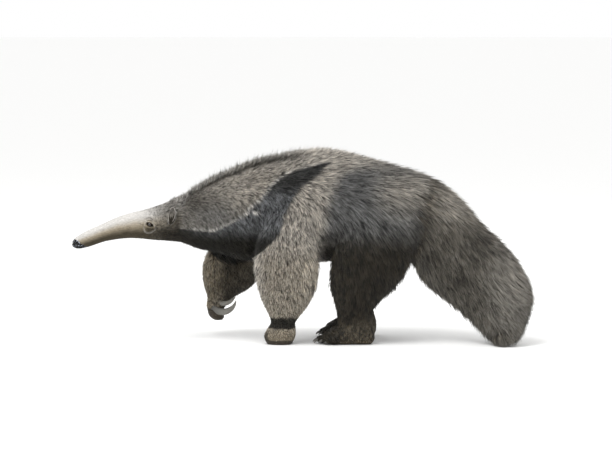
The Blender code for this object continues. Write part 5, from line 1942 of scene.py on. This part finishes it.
# %% Tail brush
# Stretches of the tail, by place along it from 0 to 1. The ends reach a little past it.
TAIL_CUTS = ((-1.0, 0.30), (0.30, 0.55), (0.55, 1.1))


def tail_part(low, high):
    """Roots on this stretch of the tail."""

    def where(points):
        found = np.zeros(len(points))
        mine = zones_of(points) == ZONE["tail"]
        at = tail_place(points[mine])[0]
        found[mine] = (at >= low) & (at < high)
        return found

    return where


for i, (low, high) in enumerate(TAIL_CUTS, 1):
    piece = coat_piece(
        f"coat_tail_{i}",
        tail_part(low, high),
        count=40000,
        knots=2,
        length=hair_length,
        lift=hair_lift,
        width=hair_width,
        clump=10,
        pull=0.70,
        stray=0.25,
        pale_tips=0.30,
        shared=0.50,
    )
    finish_piece(piece)

# %% [markdown]
# ## Eyes
#
# The eye is small, dark and wet. A ball of real depth sits in its socket, and the rounder cornea over
# the iris catches the light. Each point stores its angle from the line of sight, so rings of colour
# give the black pupil, the dark brown iris and the dim brown edge of the white.


# %% Wet eye
# Rings of the eye: share of the widest angle from the line of sight, colour.
EYE_RINGS = (
    (0.30, "050403"),
    (0.34, "2c1c10"),
    (0.60, "1c120b"),
    (0.66, "120d0a"),
    (0.80, "2e2018"),
)


def wet_eye():
    """The eye's surface under its film of tears, coloured in rings round the line of sight."""
    sockets = {"Specular IOR Level": 0.5, "Coat Weight": 0.4}
    made, tree, shader = new_material("wet_eye", 0.06, sockets)
    gaze = add_node(tree, "Attribute", {"attribute_name": "gaze"})
    rings = add_node(tree, "ValToRGB", links={"Fac": gaze.outputs["Fac"]})
    set_stops(rings, EYE_RINGS)
    tree.links.new(rings.outputs["Color"], shader.inputs["Base Color"])
    return made


# %% Eyes
WET_EYE = wet_eye()
IRIS_ANGLE = math.radians(42)
WIDEST_ANGLE = math.radians(70)
CORNEA_RISE = 0.0007
# How far forwards and upwards the eye looks for each step sideways.
LOOK_FORWARDS = 0.30
LOOK_UP = 0.10


def make_eye(name, side, node):
    """An eyeball with its cornea bulging outwards and a little forwards."""
    gaze = Vector((-LOOK_FORWARDS, side, LOOK_UP)).normalized()
    bm = bmesh.new()
    bmesh.ops.create_uvsphere(bm, u_segments=64, v_segments=40, radius=EYE_RADIUS)
    angles = [vert.co.angle(gaze) for vert in bm.verts]
    for vert, angle in zip(bm.verts, angles):
        share = max(0.0, math.cos(min(angle / IRIS_ANGLE, 1.0) * math.pi / 2))
        vert.co += vert.co.normalized() * CORNEA_RISE * share
    centre = Vector((EYE_PLACE.x, -side * EYE_PLACE.y, EYE_PLACE.z)) + INTO_FRAME
    bmesh.ops.translate(bm, vec=centre, verts=bm.verts)
    mesh = bpy.data.meshes.new(name)
    bm.to_mesh(mesh)
    bm.free()
    shares = [angle / WIDEST_ANGLE for angle in angles]
    mesh.attributes.new("gaze", "FLOAT", "POINT").data.foreach_set("value", shares)
    mesh.shade_smooth()
    eye = bpy.data.objects.new(name, mesh)
    bpy.context.scene.collection.objects.link(eye)
    finish_piece(eye, WET_EYE)
    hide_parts(node)
    print(name, "at", [round(value, 4) for value in centre])


make_eye("eye_near", -1, "eye_left")
make_eye("eye_far", 1, "eye_right")

# %% [markdown]
# ## Claws
#
# The foreclaws are tools for breaking termite nests: deep, flattened, curved and drawn out to a point.
# Each grows along a middle line through a few points, with oval rings that shrink towards its tip.
# Horn is grey, streaked along its length and worn smooth. The short hind claws stay darker.

# %% Tables of the foreclaws
# Thickness at the root, then the points that the middle line runs through.
NEAR_CLAWS = (
    (
        0.0075,
        ((-0.088, -0.076, 0.028), (-0.072, -0.061, 0.021), (-0.050, -0.056, 0.015), (-0.026, -0.060, 0.0125)),
    ),
    (
        0.0062,
        ((-0.080, -0.076, 0.046), (-0.066, -0.062, 0.041), (-0.048, -0.058, 0.035), (-0.030, -0.062, 0.031)),
    ),
    (
        0.0042,
        ((-0.098, -0.088, 0.023), (-0.099, -0.072, 0.015), (-0.090, -0.063, 0.010), (-0.080, -0.061, 0.008)),
    ),
)
FAR_CLAWS = (
    (
        0.0112,
        (
            (-0.266, 0.078, 0.088),
            (-0.247, 0.072, 0.0775),
            (-0.226, 0.072, 0.0760),
            (-0.209, 0.077, 0.0840),
            (-0.199, 0.082, 0.0960),
            (-0.194, 0.086, 0.1100),
        ),
    ),
    (
        0.0100,
        ((-0.262, 0.082, 0.110), (-0.238, 0.078, 0.101), (-0.214, 0.083, 0.104), (-0.195, 0.091, 0.120)),
    ),
    (
        0.0060,
        ((-0.256, 0.112, 0.078), (-0.236, 0.114, 0.071), (-0.222, 0.116, 0.074), (-0.212, 0.118, 0.083)),
    ),
)

# %% Claw horn
# Growth of a claw from its root to its tip, and the width of a streak of horn in metres.
HORN_STOPS = ((0.0, "3a3833"), (1.0, "a5a29b"), (0.25, "77756f"))
STREAK_WIDTH = 0.0012


def claw_horn():
    """Horn with growth streaks: dark where it grows out of the toe, paler and smoother where it wears."""
    made, tree, shader = new_material("worn_claw_horn", 0.38, {"Specular IOR Level": 0.5})
    grown = add_node(tree, "Attribute", {"attribute_name": "grown"})
    tones = add_node(tree, "ValToRGB", links={"Fac": grown.outputs["Fac"]})
    set_stops(tones, HORN_STOPS)
    where = add_node(tree, "TexCoord")
    drawn = add_node(tree, "Mapping", {"Scale": (0.25, 1.0, 1.0)}, {"Vector": where.outputs["Object"]})
    streaks = add_node(
        tree,
        "TexNoise",
        {"Scale": 1 / STREAK_WIDTH, "Detail": 2.0},
        {"Vector": drawn.outputs[0]},
    )
    light = add_node(
        tree,
        "MapRange",
        NOISE_SPAN | {"To Min": 0.8, "To Max": 1.15},
        {"Value": streaks.outputs[0]},
    )
    tint = add_node(
        tree,
        "VectorMath",
        {"operation": "SCALE"},
        {0: tones.outputs["Color"], "Scale": light.outputs[0]},
    )
    tree.links.new(tint.outputs[0], shader.inputs["Base Color"])
    bumps = add_node(tree, "Bump", {"Strength": 0.3, "Distance": 0.0002}, {"Height": streaks.outputs[0]})
    tree.links.new(bumps.outputs[0], shader.inputs["Normal"])
    return made


# %% Claws
CLAW_HORN = claw_horn()
CLAW_RINGS = 28
CLAW_AROUND = 20
# A claw's width as a share of its depth, the share of its depth lost by the tip, and how late.
CLAW_FLATNESS = 0.62
CLAW_TAPER = 0.92
CLAW_TAPER_POWER = 2.2
# A hind claw's thickness as a share of its toe's.
HIND_CLAW_SHARE = 0.40


def claw_form(points, thick):
    """A claw among the forms, deep at its root and drawn out to a point."""
    along = np.linspace(0, 1, CLAW_RINGS)
    path = rows_at(smooth_rows(points, 8), along)
    radii = thick * (1 - CLAW_TAPER * along**CLAW_TAPER_POWER)
    return loft("claw", tube_rings(path[:-1], radii[:-1], CLAW_AROUND, CLAW_FLATNESS), path[-1])


def claws_of(name, claws, nodes, paleness):
    """All claws of one foot as one mesh. Each point stores how far along its claw it lies."""
    points, faces, grown = [], [], []
    for thick, middle_line in claws:
        form = claw_form(middle_line, thick)
        start = len(points)
        points += [vert.co + INTO_FRAME for vert in form.data.vertices]
        faces += [[start + v for v in face.vertices] for face in form.data.polygons]
        grown += [paleness * (i // CLAW_AROUND / CLAW_RINGS) for i in range(len(form.data.vertices))]
        bpy.data.objects.remove(form, do_unlink=True)
    mesh = bpy.data.meshes.new(name)
    mesh.from_pydata(points, [], faces)
    mesh.attributes.new("grown", "FLOAT", "POINT").data.foreach_set("value", grown)
    mesh.shade_smooth()
    made = bpy.data.objects.new(name, mesh)
    bpy.context.scene.collection.objects.link(made)
    finish_piece(made, CLAW_HORN)
    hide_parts(*nodes)
    print(name, len(claws), "claws,", len(faces), "faces")


def hind_claws(side, shift):
    """Thickness and middle line of the five short claws of a hind foot."""
    found = []
    for inwards, tip, radius in HIND_TOES:
        y, x = side * (SIDE_OF_LEG - inwards), tip + shift
        line = ((x + 0.010, y, 0.0135), (x, y, 0.0120), (x - 0.007, y, 0.0080), (x - 0.010, y, 0.0035))
        found.append((HIND_CLAW_SHARE * radius, line))
    return found


# %% Claws into the scene
claws_of("claws_fore_near", NEAR_CLAWS, [f"claw_front_left_{i}" for i in (1, 2, 3)], 0.6)
claws_of("claws_fore_far", FAR_CLAWS, [f"claw_front_right_{i}" for i in (1, 2, 3)], 0.85)
claws_of("claws_hind_near", hind_claws(-1, 0.0), [f"claw_hind_left_{i}" for i in range(1, 6)], 0.12)
claws_of("claws_hind_far", hind_claws(1, FAR_HIND_SHIFT), [f"claw_hind_right_{i}" for i in range(1, 6)], 0.12)

# %% [markdown]
# ## Finish
#
# The forms used on the way are removed.

# %% Finish
for obj in list(forms.objects):
    bpy.data.objects.remove(obj, do_unlink=True)
bpy.data.collections.remove(forms)
